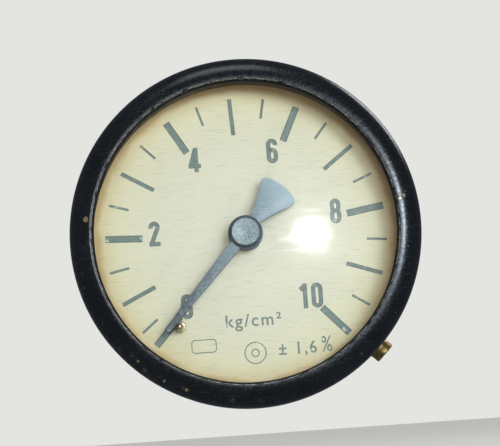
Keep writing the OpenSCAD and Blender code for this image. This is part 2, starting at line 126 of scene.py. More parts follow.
def linear(code: str) -> tuple[float, float, float, float]:
    """Turns an sRGB hex colour to linear.

    Args:
        code: the colour, such as "#d8c795".

    Returns:
        Red, green, blue and an alpha of 1.
    """
    channels = [int(code[i : i + 2], 16) / 255 for i in (1, 3, 5)]
    red, green, blue = (c / 12.92 if c <= 0.04045 else ((c + 0.055) / 1.055) ** 2.4 for c in channels)
    return red, green, blue, 1.0


def per_mm(size: float) -> float:
    """The texture scale at which a pattern repeats about every size millimetres."""
    return 1.0 / (size * MM)


def unit(degrees: float) -> Vector:
    """The unit vector at an angle from X in the plane of the dial."""
    return Vector((math.cos(math.radians(degrees)), math.sin(math.radians(degrees)), 0.0))


def front_of(node: str) -> float:
    """How far a CAD node reaches towards the reader, in mm from the stem's shoulder."""
    return -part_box(node)[0].y / MM


def back_of(node: str) -> float:
    """Where a CAD node ends at the back, in mm from the stem's shoulder."""
    return -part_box(node)[1].y / MM


def radius_of(node: str) -> float:
    """The outer radius of a round CAD node on the gauge's axis, in mm."""
    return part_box(node)[1].z / MM


# ---- Materials ----


def add_node(
    tree: bpy.types.NodeTree,
    kind: Kind,
    settings: dict[str, Any] | None = None,
    inputs: dict[Any, Any] | None = None,
) -> bpy.types.NodeSocket:
    """Adds a node to a tree.

    Args:
        tree: the node tree.
        kind: which node.
        settings: its properties by name; a ramp takes "stops", pairs of place and hex colour.
        inputs: its inputs by name or number, each a socket to link or a value to set.

    Returns:
        The first of its outputs that is in use.
    """
    node = tree.nodes.new(kind.value)
    for key, value in (settings or {}).items():
        if key != "stops":
            setattr(node, key, value)
            continue
        elements = node.color_ramp.elements
        while len(elements) < len(value):
            elements.new(1.0)
        for element, (position, code) in zip(elements, value):
            element.position = position
            element.color = linear(code)
    for key, value in (inputs or {}).items():
        if isinstance(value, bpy.types.NodeSocket):
            tree.links.new(value, node.inputs[key])
        else:
            node.inputs[key].default_value = value
    return next(s for s in node.outputs if s.enabled) if node.outputs else None


class Recipe:
    """A material's node tree while it is put together."""

    def __init__(self, name: str) -> None:
        """Starts an empty material.

        Args:
            name: the material's name.
        """
        self.material = bpy.data.materials.new(name)
        self.material.use_nodes = True
        self.material.node_tree.nodes.clear()
        self.place = self.add(Kind.COORDINATES).node.outputs["Object"]

    def add(
        self, kind: Kind, settings: dict[str, Any] | None = None, inputs: dict[Any, Any] | None = None
    ) -> bpy.types.NodeSocket:
        """Adds a node to the material, as add_node does."""
        return add_node(self.material.node_tree, kind, settings, inputs)

    def number(self, operation: str, *values: Any) -> bpy.types.NodeSocket:
        """Works a number out from others, each a socket or a value."""
        return self.add(Kind.MATH, {"operation": operation}, dict(enumerate(values)))

    def between(self, value: Any, low: float, high: float) -> bpy.types.NodeSocket:
        """A mask that goes from 0 to 1 as a number goes from low to high."""
        return self.add(Kind.RANGE, inputs={"Value": value, "From Min": low, "From Max": high})

    def polar(self) -> tuple[bpy.types.NodeSocket, bpy.types.NodeSocket]:
        """Where a point is round the gauge's axis.

        Returns:
            Its radius in metres, and its angle in degrees from X towards the top of the dial.
        """
        flat = self.add(Kind.VECTOR, {"operation": "MULTIPLY"}, {0: self.place, 1: (1.0, 0.0, 1.0)})
        radius = self.add(Kind.VECTOR, {"operation": "LENGTH"}, {0: flat}).node.outputs["Value"]
        parts = self.add(Kind.SEPARATE, inputs={0: self.place}).node.outputs
        angle = self.number("ARCTAN2", parts["Z"], parts["X"])
        return radius, self.number("DEGREES", angle)

    def patches(
        self, size: float, low: float, high: float, detail: float = 3.0, shift: float = 0.0
    ) -> bpy.types.NodeSocket:
        """Soft irregular patches.

        Args:
            size: their size in mm.
            low: the noise value at which they start.
            high: the noise value at which they are full.
            detail: how broken their edges are.
            shift: moves the pattern, so that two of one size differ.

        Returns:
            A mask from 0 to 1.
        """
        noise = self.add(
            Kind.NOISE,
            {"noise_dimensions": "4D"},
            {"Vector": self.place, "W": shift, "Scale": per_mm(size), "Detail": detail},
        )
        return self.between(noise, low, high)

    def specks(self, cell: float, size: float, share: float, shift: float = 0.0) -> bpy.types.NodeSocket:
        """Small round specks, such as dust nibs or rust pits.

        Args:
            cell: the mean distance between places where one may be, in mm.
            size: the radius of a speck in mm.
            share: the share of those places that have one.
            shift: moves the pattern.

        Returns:
            A mask from 0 to 1.
        """
        cells = self.add(
            Kind.VORONOI,
            {"voronoi_dimensions": "4D"},
            {"Vector": self.place, "W": shift, "Scale": per_mm(cell)},
        ).node.outputs
        reach = size / cell
        dot = self.between(cells["Distance"], reach, reach * 0.5)
        chosen = self.number("LESS_THAN", cells["Color"], share)
        return self.number("MULTIPLY", dot, chosen)

    def hairlines(
        self, length: float, width: float, angles: Sequence[float], share: float
    ) -> bpy.types.NodeSocket:
        """Short fine scratches in a plane that faces the reader, in a few directions.

        Args:
            length: the length of a scratch in mm.
            width: its width in mm.
            angles: its directions, in degrees from X.
            share: the share of the places in a loose grid that have one.

        Returns:
            A mask from 0 to 1.
        """
        wander = self.add(Kind.NOISE, inputs={"Vector": self.place, "Scale": per_mm(6.0), "Detail": 1.0})
        bent = self.add(
            Kind.VECTOR,
            {"operation": "MULTIPLY_ADD"},
            {0: wander.node.outputs["Color"], 1: (0.0012, 0.0, 0.0012), 2: self.place},
        )
        reach = 0.22  # a scratch's half length, as a share of its cell
        total: Any = 0.0
        for i, angle in enumerate(angles):
            cells = self.add(
                Kind.MAPPING,
                inputs={
                    "Vector": bent,
                    "Location": (3.1 * i, 1.7 * i, 0.9 * i),
                    "Rotation": (0.0, math.radians(angle), 0.0),
                    "Scale": (per_mm(length / (2 * reach)), per_mm(40.0), per_mm(width / (2 * reach))),
                },
            )
            found = self.add(Kind.VORONOI, inputs={"Vector": cells, "Scale": 1.0}).node.outputs
            line = self.between(found["Distance"], reach, reach * 0.6)
            chosen = self.number("LESS_THAN", found["Color"], share)
            kept = self.number("MULTIPLY", line, chosen)
            total = self.number("MAXIMUM", kept, total)
        return total

    def tint(self, mask: Any, under: Any, over: Any) -> bpy.types.NodeSocket:
        """Lays one colour over another.

        Args:
            mask: how much of the upper colour shows.
            under: the lower colour, a socket or a hex value.
            over: the upper colour, a socket or a hex value.

        Returns:
            The colour.
        """
        colours = [linear(c) if isinstance(c, str) else c for c in (under, over)]
        return self.add(Kind.MIX, {"data_type": "RGBA"}, {0: mask, MIX_A: colours[0], MIX_B: colours[1]})

    def level(self, mask: Any, low: float, high: float) -> bpy.types.NodeSocket:
        """A number that goes from low to high as the mask goes from 0 to 1."""
        return self.add(Kind.RANGE, inputs={"Value": mask, "To Min": low, "To Max": high})

    def relief(
        self, height: bpy.types.NodeSocket, depth: float, under: bpy.types.NodeSocket | None = None
    ) -> bpy.types.NodeSocket:
        """Turns a height mask to a normal.

        Args:
            height: the mask, 1 where the surface stands highest.
            depth: how far it stands out, in mm.
            under: a coarser normal that this one is laid over.

        Returns:
            The normal.
        """
        inputs: dict[Any, Any] = {"Height": height, "Distance": depth * MM, "Strength": 1.0}
        if under is not None:
            inputs["Normal"] = under
        return self.add(Kind.BUMP, inputs=inputs)

    def finish(self, inputs: dict[str, Any]) -> bpy.types.Material:
        """Ends the material with one Principled shader.

        Args:
            inputs: its inputs by name.

        Returns:
            The material.
        """
        surface = self.add(Kind.PRINCIPLED, inputs=inputs)
        self.add(Kind.OUTPUT, inputs={"Surface": surface})
        return self.material


@dataclass(frozen=True)
class Chip:
    """A place where the enamel is knocked off: its angle, radius and half width, in degrees and mm."""

    angle: float
    radius: float
    size: float
    core: float = 0.6  # the share of it that is down to bare steel


@dataclass(frozen=True)
class StoveEnamel:
    """Black stove enamel on steel: hard, glossy and a little blue, rubbed dull, chipped at its edges."""

    name: str = "stove_enamel_black"
    deep: str = "#080b0e"
    rubbed: str = "#161d23"
    primer: str = "#6f6238"
    steel: str = "#c3c6c8"
    rust: str = "#4a3a2c"
    line: str = "#5b656c"
    rust_radii: tuple[float, float] = (30.8, 31.6)
    rust_angles: tuple[float, float] = (-70.0, -110.0)
    chips: tuple[Chip, ...] = ()
    lip_radius: float = 0.0

    def make(self) -> bpy.types.Material:
        """Builds the material."""
        r = Recipe(self.name)
        radius, angle = r.polar()
        haze = r.patches(7.0, 0.35, 0.7, 4.0)
        grain = r.patches(0.5, 0.35, 0.7, 5.0, 2.0)
        lines = r.hairlines(2.2, 0.06, (12, 57, 101, 148), 0.16)
        worn = r.number("MULTIPLY", haze, grain)
        colour = r.tint(worn, self.deep, self.rubbed)
        colour = r.tint(r.level(lines, 0.0, 0.25), colour, self.line)
        outside = r.between(radius, *(radius_mm * MM for radius_mm in self.rust_radii))
        below = r.between(angle, *self.rust_angles)
        zone = r.number("MULTIPLY", outside, below)
        rust = r.number("MULTIPLY", zone, r.patches(1.6, 0.56, 0.7, 6.0))
        pits = r.number("MAXIMUM", r.specks(2.6, 0.13, 0.35, 3.0), rust)
        colour = r.tint(r.level(pits, 0.0, 0.7), colour, self.rust)
        bare, edge = self._bare(r, radius)
        colour = r.tint(edge, colour, self.primer)
        colour = r.tint(bare, colour, self.steel)
        rough = r.level(grain, 0.19, 0.33)
        rough = r.number("MULTIPLY_ADD", lines, 0.2, rough)
        rough = r.number("MULTIPLY_ADD", pits, 0.35, rough)
        rough = r.number("MAXIMUM", rough, r.level(edge, 0.0, 0.5))
        peel = r.relief(r.patches(0.8, 0.2, 0.8, 2.0, 5.0), 0.008)
        left = r.number("SUBTRACT", 1.0, edge)
        return r.finish(
            {
                "Base Color": colour,
                "Roughness": rough,
                "Metallic": bare,
                "Normal": r.relief(left, 0.04, r.relief(grain, 0.012, peel)),
                "Coat Weight": 0.25,
                "Coat Roughness": 0.15,
                "IOR": 1.52,
            }
        )

    def _bare(self, r: Recipe, radius: bpy.types.NodeSocket) -> tuple[Any, Any]:
        """Masks of bare steel and of the primer round it.

        Args:
            r: the recipe in hand.
            radius: the distance from the gauge's axis, in metres.

        Returns:
            The two masks.
        """
        ragged = r.add(Kind.NOISE, inputs={"Vector": r.place, "Scale": per_mm(0.6), "Detail": 4.0})
        flat = r.add(Kind.VECTOR, {"operation": "MULTIPLY"}, {0: r.place, 1: (1.0, 0.0, 1.0)})
        bare: Any = 0.0
        primer: Any = 0.0
        soft = 0.06  # how soft a chip's edge is, in mm
        for chip in self.chips:
            spot = STAND @ (unit(chip.angle) * chip.radius)
            away = r.add(Kind.VECTOR, {"operation": "DISTANCE"}, {0: flat, 1: tuple(spot)})
            away = r.number("MULTIPLY_ADD", ragged, -chip.size * MM, away.node.outputs["Value"])
            for share in (chip.core, 1.0):
                reach = (share - 0.5) * chip.size * MM
                mask = r.between(away, reach, reach - soft * MM)
                if share < 1.0:
                    bare = r.number("MAXIMUM", mask, bare)
                else:
                    primer = r.number("MAXIMUM", mask, primer)
        if self.lip_radius:
            lip = r.between(radius, (self.lip_radius + 0.2) * MM, (self.lip_radius + 0.1) * MM)
            along = r.patches(1.6, 0.42, 0.56, 5.0, 7.0)
            worn = r.number("MULTIPLY", lip, along)
            bare = r.number("MAXIMUM", worn, bare)
        return bare, primer


@dataclass(frozen=True)
class DialLacquer:
    """Ivory lacquer on aluminium: smooth and dull, yellowed and spotted towards its edge."""

    name: str = "ivory_lacquer"
    radius: float = 28.5
    spotted: tuple[float, float] = (25.5, 28.3)  # the radii between which spots gather
    wander: float = 2.4  # how far the yellowing strays from a circle, in mm
    tones: tuple[tuple[float, str], ...] = (
        (0.0, "#d8cdb3"),
        (0.66, "#d7cbad"),
        (0.87, "#dbcea7"),
        (0.96, "#d8c393"),
        (1.0, "#c19c64"),
    )
    speck: str = "#6b5a38"
    scratch: str = "#9a9a80"

    def make(self) -> bpy.types.Material:
        """Builds the material."""
        r = Recipe(self.name)
        radius, _ = r.polar()
        wavy = r.add(Kind.NOISE, inputs={"Vector": r.place, "Scale": per_mm(5.0), "Detail": 4.0})
        moved = r.number("MULTIPLY_ADD", wavy, self.wander * MM, radius)
        middle = self.wander / 2 * MM
        share = r.between(moved, middle, self.radius * MM + middle)
        colour = r.add(Kind.RAMP, {"stops": self.tones}, {0: share})
        colour = r.tint(r.level(r.patches(0.5, 0.35, 0.75, 3.0), 0.0, 0.10), colour, "#a7a588")
        colour = r.tint(r.level(r.patches(7.0, 0.52, 0.72, 4.0, 4.0), 0.0, 0.14), colour, "#c8b98c")
        rim = r.between(radius, *(radius_mm * MM for radius_mm in self.spotted))
        spots = r.specks(0.9, 0.16, 0.22, 1.0)
        spots = r.number("MULTIPLY", spots, rim)
        stray = r.specks(3.4, 0.16, 0.3, 6.0)
        spots = r.number("MAXIMUM", spots, r.level(stray, 0.0, 0.6))
        colour = r.tint(r.level(spots, 0.0, 0.8), colour, self.speck)
        faint = r.hairlines(2.6, 0.09, (8, 35, 74, 118, 152), 0.3)
        deep = r.hairlines(5.0, 0.13, (20, 130), 0.06)
        lines = r.number("MULTIPLY_ADD", faint, 0.5, r.level(deep, 0.0, 0.7))
        colour = r.tint(lines, colour, self.scratch)
        smooth = r.level(r.patches(0.8, 0.3, 0.7, 2.0, 8.0), 0.46, 0.6)
        sunk = r.number("SUBTRACT", 1.0, lines)
        return r.finish(
            {
                "Base Color": colour,
                "Roughness": smooth,
                "Normal": r.relief(sunk, 0.01),
                "IOR": 1.45,
            }
        )


@dataclass(frozen=True)
class ScreenInk:
    """Dark screen ink: dull, thick along the sides of a stroke, rubbed thin along its middle."""

    name: str = "screen_ink"
    thin: str = "#767f74"
    thick: str = "#4c544d"
    ground: str = "#cdd0b3"

    def make(self) -> bpy.types.Material:
        """Builds the material."""
        r = Recipe(self.name)
        across = r.add(Kind.UV, {"uv_map": "across"})
        side = r.add(Kind.SEPARATE, inputs={0: across}).node.outputs["X"]
        from_middle = r.number("SUBTRACT", side, 0.5)
        from_middle = r.number("ABSOLUTE", from_middle)
        edge = r.between(from_middle, 0.3, 0.44)
        mottle = r.patches(0.35, 0.3, 0.7, 3.0)
        colour = r.tint(mottle, self.thin, "#6a7369")
        colour = r.tint(r.level(edge, 0.0, 0.8), colour, self.thick)
        rubbed = r.patches(1.5, 0.6, 0.7, 5.0, 3.0)
        inner = r.number("SUBTRACT", 1.0, edge)
        rubbed = r.number("MULTIPLY", rubbed, inner)
        lines = r.hairlines(1.6, 0.06, (5, 64, 122), 0.3)
        gone = r.number("MULTIPLY_ADD", lines, 0.5, rubbed)
        colour = r.tint(r.level(gone, 0.0, 0.75), colour, self.ground)
        return r.finish({"Base Color": colour, "Roughness": 0.62, "IOR": 1.5})


@dataclass(frozen=True)
class PointerPaint:
    """Blue-grey cellulose paint on sheet metal: satin; its colour is a painted highlight, palest on the
    tail and darkest at the tip.
    """

    direction: float
    tip: float
    tail: float = -11.0
    name: str = "pointer_paint"
    # painted highlight: the tones fade from pale at the tail to dark at the tip
    tones: tuple[tuple[float, str], ...] = (
        (0.0, "#8b989a"),
        (0.3, "#6d797b"),
        (0.6, "#566062"),
        (0.85, "#3c4446"),
        (1.0, "#23292b"),
    )

    def make(self) -> bpy.types.Material:
        """Builds the material."""
        r = Recipe(self.name)
        way = unit(self.direction)
        along = r.add(
            Kind.VECTOR, {"operation": "DOT_PRODUCT"}, {0: r.place, 1: (way.x, 0.0, way.y)}
        ).node.outputs["Value"]
        share = r.between(along, self.tail * MM, self.tip * MM)
        # painted highlight along the blade: pale at the tail, dark at the tip
        colour = r.add(Kind.RAMP, {"stops": self.tones}, {0: share})
        colour = r.tint(r.level(r.patches(0.7, 0.35, 0.7, 4.0), 0.0, 0.35), colour, "#9aa6a8")
        lines = r.hairlines(2.2, 0.08, (200, 227, 245), 0.5)
        chips = r.specks(0.7, 0.12, 0.1)
        marks = r.number("MAXIMUM", r.level(lines, 0.0, 0.4), chips)
        colour = r.tint(marks, colour, "#b3bcb8")
        return r.finish(
            {
                "Base Color": colour,
                "Roughness": r.level(r.patches(0.4, 0.3, 0.7, 2.0, 2.0), 0.34, 0.5),
                "Normal": r.relief(r.patches(0.5, 0.2, 0.8, 3.0, 4.0), 0.004),
                "IOR": 1.5,
            }
        )


@dataclass(frozen=True)
class PaintedShadeEdge:
    """Side walls of the painted pointer, coloured near-black: painted shade that gives the blade its dark
    edge.
    """

    name: str = "pointer_edge_painted_shade"
    colour: str = "#16191b"

    def make(self) -> bpy.types.Material:
        """Builds the material."""
        r = Recipe(self.name)
        # painted shade: near-black walls with a faint mottle
        colour = r.tint(r.patches(0.4, 0.4, 0.7), self.colour, "#2b3133")
        return r.finish({"Base Color": colour, "Roughness": 0.5, "IOR": 1.5})


@dataclass(frozen=True)
class WornMetal:
    """A bare metal: its own colour, the film that has grown on it and the marks its making left."""

    name: str
    clean: str
    film: str
    filmed: float = 0.5  # the share of the surface under film
    rough: float = 0.28
    lay: Lay = Lay.CAST
    mark: float = 0.12  # distance between tool marks, in mm
    patch: float = 1.6  # size of the film's patches, in mm

    def make(self) -> bpy.types.Material:
        """Builds the material."""
        r = Recipe(self.name)
        cut = 0.72 - 0.42 * self.filmed
        film = r.patches(self.patch, cut - 0.12, cut + 0.12, 5.0)
        colour = r.tint(r.level(film, 0.1, 0.85), self.clean, self.film)
        colour = r.tint(r.level(r.specks(0.8, 0.1, 0.12), 0.0, 0.7), colour, "#2d261c")
        settings: dict[str, Any] = {}
        inputs = {"Vector": r.place, "Scale": per_mm(self.mark), "Detail": 4.0}
        if self.lay is Lay.TURNED:
            settings = {"noise_dimensions": "1D"}
            inputs = {"W": r.polar()[0], "Scale": per_mm(self.mark), "Detail": 2.0}
        elif self.lay is Lay.ROLLED:
            drawn = r.add(Kind.MAPPING, inputs={"Vector": r.place, "Scale": (0.04, 0.3, 1.0)})
            inputs |= {"Vector": drawn, "Detail": 3.0}
        marks = r.add(Kind.NOISE, settings, inputs)
        rough = r.number("MULTIPLY_ADD", film, 0.22, r.level(marks, self.rough, self.rough + 0.14))
        return r.finish(
            {
                "Base Color": colour,
                "Metallic": r.level(film, 1.0, 0.8),
                "Roughness": rough,
                "Normal": r.relief(marks, 0.006),
            }
        )


@dataclass(frozen=True)
class HubMetal:
    """Turned zinc alloy cap, handled grey: blotched on its flat, with painted shade round its bevel."""

    name: str = "turned_zinc_alloy"
    flat: str = "#80857f"
    blotch: str = "#5a6467"
    # painted shade for the bevel, also the colour of the turned rings
    rim: str = "#4b565e"
    flat_radius: float = 2.6

    def make(self) -> bpy.types.Material:
        """Builds the material."""
        r = Recipe(self.name)
        radius, _ = r.polar()
        blotches = r.patches(0.45, 0.36, 0.66, 5.0)
        colour = r.tint(blotches, self.flat, self.blotch)
        colour = r.tint(r.level(r.patches(0.22, 0.45, 0.7, 3.0, 5.0), 0.0, 0.5), colour, "#c2cccd")
        # painted shade: the bevel is tinted darker than the flat
        outside = r.between(radius, (self.flat_radius - 0.25) * MM, (self.flat_radius + 0.1) * MM)
        colour = r.tint(r.level(outside, 0.0, 0.85), colour, self.rim)
        rings = r.add(
            Kind.NOISE, {"noise_dimensions": "1D"}, {"W": radius, "Scale": per_mm(0.16), "Detail": 2.0}
        )
        colour = r.tint(r.level(rings, 0.0, 0.3), colour, self.rim)
        normal = r.relief(rings, 0.012)
        return r.finish(
            {
                "Base Color": colour,
                "Metallic": r.level(blotches, 0.85, 0.5),
                "Roughness": r.level(blotches, 0.38, 0.55),
                "Normal": r.relief(r.patches(0.3, 0.2, 0.8, 3.0, 9.0), 0.01, normal),
            }
        )


@dataclass(frozen=True)
class DullSolid:
    """A soft or fibrous solid such as rubber, fibre or thick paint: matt, with a fine grain."""

    name: str
    colour: str
    light: str
    rough: float = 0.75
    grain: float = 0.3
    depth: float = 0.01

    def make(self) -> bpy.types.Material:
        """Builds the material."""
        r = Recipe(self.name)
        grain = r.patches(self.grain, 0.3, 0.75, 4.0)
        colour = r.tint(r.level(grain, 0.0, 0.6), self.colour, self.light)
        colour = r.tint(r.level(r.patches(4.0, 0.45, 0.7, 3.0, 2.0), 0.0, 0.4), colour, self.light)
        return r.finish(
            {
                "Base Color": colour,
                "Roughness": r.level(grain, self.rough, self.rough - 0.12),
                "Normal": r.relief(grain, self.depth),
                "IOR": 1.5,
            }
        )


@dataclass(frozen=True)
class WindowGlass:
    """Flat clear glass with a trace of green: wiped hazy, and crossed by fine scratches."""

    name: str = "window_glass"
    colour: str = "#f8fbf9"

    def make(self) -> bpy.types.Material:
        """Builds the material; lamps shine through it unbent."""
        r = Recipe(self.name)
        fine = r.hairlines(4.0, 0.07, (15, 48, 83, 121, 160), 0.35)
        long = r.hairlines(9.0, 0.1, (100, 38), 0.12)
        lines = r.number("MAXIMUM", fine, long)
        smear = r.patches(6.0, 0.4, 0.8, 3.0)
        rough = r.number("MULTIPLY_ADD", lines, 0.16, r.level(smear, 0.028, 0.045))
        glass = r.add(
            Kind.PRINCIPLED,
            inputs={
                "Base Color": linear(self.colour),
                "Transmission Weight": 1.0,
                "IOR": 1.52,
                "Roughness": rough,
                "Coat Weight": 0.01,
                "Coat Roughness": 0.16,
            },
        )
        open_way = r.add(Kind.TRANSPARENT, inputs={"Color": linear(self.colour)})
        lamp = r.add(Kind.LIGHT_PATH).node.outputs["Is Shadow Ray"]
        # from inside, the glass only bends light: a lamp mirrored there too would show twice
        inner = r.add(Kind.REFRACTION, inputs={"Color": linear("#ffffff"), "Roughness": 0.0, "IOR": 1.52})
        inside = r.add(Kind.GEOMETRY).node.outputs["Backfacing"]
        body = r.add(Kind.MIX_SHADER, inputs={0: inside, 1: glass, 2: inner})
        surface = r.add(Kind.MIX_SHADER, inputs={0: lamp, 1: body, 2: open_way})
        r.add(Kind.OUTPUT, inputs={"Surface": surface})
        return r.material


# ---- Mesh tools ----


@dataclass(frozen=True)
class Corner:
    """A corner of a turned section: its radius and height, and how far it is rounded, in mm."""

    r: float
    z: float
    rounding: float = 0.0
    steps: int = 5


def linked(name: str, data: bpy.types.ID) -> bpy.types.Object:
    """Makes an object of some data and puts it in the scene."""
    obj = bpy.data.objects.new(name, data)
    bpy.context.scene.collection.objects.link(obj)
    return obj


def meshed(name: str, bm: bmesh.types.BMesh) -> bpy.types.Mesh:
    """Makes a mesh of that name, and frees what it is made from."""
    mesh = bpy.data.meshes.new(name)
    bm.to_mesh(mesh)
    bm.free()
    return mesh


def spun(
    bm: bmesh.types.BMesh,
    geom: Sequence[Any],
    angle: float,
    steps: int,
    centre: Sequence[float] = (0, 0, 0),
    rise: float = 0.0,
    merge: bool = False,
) -> list[Any]:
    """Sweeps part of a mesh round an upright axis.

    Args:
        bm: the mesh.
        geom: the part that is swept.
        angle: how far round, in radians.
        steps: the number of steps it takes.
        centre: a point on the axis.
        rise: how far each step climbs.
        merge: whether the end is closed on the start.

    Returns:
        The part at the end of the sweep.
    """
    return bmesh.ops.spin(
        bm,
        geom=geom,
        cent=centre,
        axis=(0, 0, 1),
        dvec=(0, 0, rise),
        angle=angle,
        steps=steps,
        use_merge=merge,
        use_normal_flip=False,
        use_duplicate=False,
    )["geom_last"]


def turned(corners: Sequence[Corner], steps: int = 160) -> bmesh.types.BMesh:
    """Turns a closed section round the gauge's axis.

    Args:
        corners: the section's corners in order; those at radius 0 lie on the axis.
        steps: facets round the axis.

    Returns:
        A closed mesh in mm, with its faces outwards.
    """
    bm = bmesh.new()
    verts = [bm.verts.new((c.r, 0.0, c.z)) for c in corners]
    bm.faces.new(verts)
    for vert, corner in zip(verts, corners):
        if corner.rounding:
            bmesh.ops.bevel(
                bm,
                geom=[vert],
                offset=corner.rounding,
                offset_type="OFFSET",
                segments=corner.steps,
                profile=0.5,
                affect="VERTICES",
                material=-1,
            )
    bmesh.ops.delete(bm, geom=list(bm.faces), context="FACES_ONLY")
    on_axis = [e for e in bm.edges if all(v.co.x < TOUCH for v in e.verts)]
    bmesh.ops.delete(bm, geom=on_axis, context="EDGES")
    spun(bm, list(bm.verts) + list(bm.edges), 2 * math.pi, steps, merge=True)
    bmesh.ops.remove_doubles(bm, verts=bm.verts, dist=TOUCH)
    bmesh.ops.recalc_face_normals(bm, faces=bm.faces)
    return bm


def joined(parts: Iterable[bmesh.types.BMesh]) -> bmesh.types.BMesh:
    """Puts several meshes in one, and frees them."""
    whole = bmesh.new()
    for part in parts:
        mesh = meshed("part", part)
        whole.from_mesh(mesh)
        bpy.data.meshes.remove(mesh)
    return whole


def cut(solid: bmesh.types.BMesh, cutter: bmesh.types.BMesh) -> bmesh.types.BMesh:
    """Cuts one closed mesh out of another.

    Args:
        solid: the mesh that stays.
        cutter: the mesh that is taken out of it.

    Returns:
        What is left, as a new mesh.
    """
    body, tool = (linked(name, meshed(name, bm)) for name, bm in (("solid", solid), ("cutter", cutter)))
    modifier = body.modifiers.new("cut", "BOOLEAN")
    modifier.operation = "DIFFERENCE"
    modifier.solver = "EXACT"
    modifier.object = tool
    left = bmesh.new()
    left.from_object(body, bpy.context.evaluated_depsgraph_get())
    for obj in (body, tool):
        mesh = obj.data
        bpy.data.objects.remove(obj)
        bpy.data.meshes.remove(mesh)
    return left


def box(size: tuple[float, float, float], centre: tuple[float, float, float]) -> bmesh.types.BMesh:
    """A plain block, used as a cutter.

    Args:
        size: its sides in mm.
        centre: its centre in mm.

    Returns:
        The mesh.
    """
    bm = bmesh.new()
    place = Matrix.Translation(centre) @ Matrix.Diagonal((*size, 1.0))
    bmesh.ops.create_cube(bm, size=1.0, matrix=place)
    return bm


@dataclass
class Piece:
    """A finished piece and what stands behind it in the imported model."""

    name: str
    bm: bmesh.types.BMesh
    finishes: Sequence[bpy.types.Material]
    body: Body
    slot: str
    replaces: tuple[str, ...] = ()

    def place(self) -> bpy.types.Object:
        """Stands the mesh up in the model's frame and sets it on its body.

        Returns:
            The object.
        """
        self.bm.transform(STAND)
        for polygon in self.bm.faces:
            polygon.smooth = True
        mesh = meshed(self.name, self.bm)
        mesh.set_sharp_from_angle(angle=SMOOTH_UNDER)
        for material in self.finishes:
            mesh.materials.append(material)
        obj = linked(self.name, mesh)
        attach(obj, self.body.value)
        if self.replaces:
            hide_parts(*self.replaces)
        LOG.info("%s: %d faces on %s", self.name, len(mesh.polygons), self.body.value)
        return obj


# ---- Case, bezel and window ----


@dataclass
class Housing:
    """Case, bezel ring, window and the rings that hold it."""

    lip_radius: float = 28.6
    lip_thickness: float = 1.2
    crest_radius: float = 28.95
    crown_depth: float = 3.4
    crown_steps: int = 26
    skirt_inner: float = 31.1
    glass_chamfer: float = 0.3
    lip_edge: float = 0.34
    lip_under_edge: float = 0.15
    skirt_end: float = 0.45  # rounding of the skirt's end, as a share of its thickness
    chips: tuple[Chip, ...] = (
        Chip(7.4, 29.3, 0.5, 0.6),
        Chip(8.3, 30.1, 0.42, 0.45),
        Chip(9.6, 30.6, 0.14, 0.3),
        Chip(172.5, 29.7, 0.5, 0.0),
        Chip(21.0, 29.9, 0.16, 0.3),
        Chip(23.5, 29.7, 0.2, 0.2),
        Chip(-9.9, 30.3, 0.13, 0.5),
        Chip(-33.0, 31.6, 0.12, 0.2),
        Chip(-51.0, 31.4, 0.16, 0.3),
        Chip(227.0, 31.4, 0.24, 0.1),
        Chip(238.0, 31.7, 0.3, 0.2),
        Chip(246.0, 31.5, 0.34, 0.1),
        Chip(262.0, 31.4, 0.12, 0.3),
        Chip(66.0, 31.3, 0.1, 0.4),
    )

    def build(self) -> None:
        """Builds the bezel and the window, and dresses the rest."""
        self._bezel()
        self._window()
        dress("case", StoveEnamel(name="stove_enamel_case").make())
        washer = WornMetal("washer_brass", "#b9a468", "#75653c", 0.4, 0.25, Lay.ROLLED, 0.15)
        dress("bezel_screw_washer", washer.make())
        dress("glass_gasket", DullSolid("black_rubber", "#0c0c0c", "#1d1d1c", 0.8).make())
        dress("seat_ring", DullSolid("brown_fibre", "#2c261a", "#4d4430", 0.6, 0.5).make())

    def _bezel(self) -> None:
        """Turns the pressed bezel: a rounded crown, a folded lip and a skirt with a rolled end."""
        front = front_of("bezel_ring")
        back = back_of("bezel_ring")
        outer = radius_of("bezel_ring")
        under_lip = front - self.lip_thickness
        rolled = self.skirt_end * (outer - self.skirt_inner)
        crown = [
            Corner(
                self.crest_radius + (outer - self.crest_radius) * math.sin(turn),
                front - self.crown_depth * (1 - math.cos(turn)),
            )
            for turn in (math.pi / 2 * i / self.crown_steps for i in range(self.crown_steps + 1))
        ]
        section = [
            Corner(self.lip_radius, under_lip, self.lip_under_edge, 3),
            Corner(self.lip_radius, front, self.lip_edge, 8),
            *crown,
            Corner(outer, back, rolled, 8),
            Corner(self.skirt_inner, back, rolled, 8),
            Corner(self.skirt_inner, under_lip),
        ]
        enamel = StoveEnamel(name="stove_enamel_bezel", chips=self.chips, lip_radius=self.lip_radius)
        Piece(
            "bezel", turned(section, 288), [enamel.make()], Body.GAUGE, "enamelled_bezel", ("bezel_ring",)
        ).place()

    def _window(self) -> None:
        """Grinds the window: a disc with a chamfer on both edges."""
        front, back, outer = front_of("glass"), back_of("glass"), radius_of("glass")
        section = [
            Corner(0.0, back),
            Corner(outer, back, self.glass_chamfer, 1),
            Corner(outer, front, self.glass_chamfer, 1),
            Corner(0.0, front),
        ]
        Piece(
            "window", turned(section, 192), [WindowGlass().make()], Body.GAUGE, "window_glass", ("glass",)
        ).place()


def dress(node: str, material: bpy.types.Material) -> None:
    """Gives a CAD node its finish.

    Args:
        node: the node's name.
        material: its one material.
    """
    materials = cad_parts[node].data.materials
    materials.clear()
    materials.append(material)
    LOG.info("%s: finish %s", node, material.name)


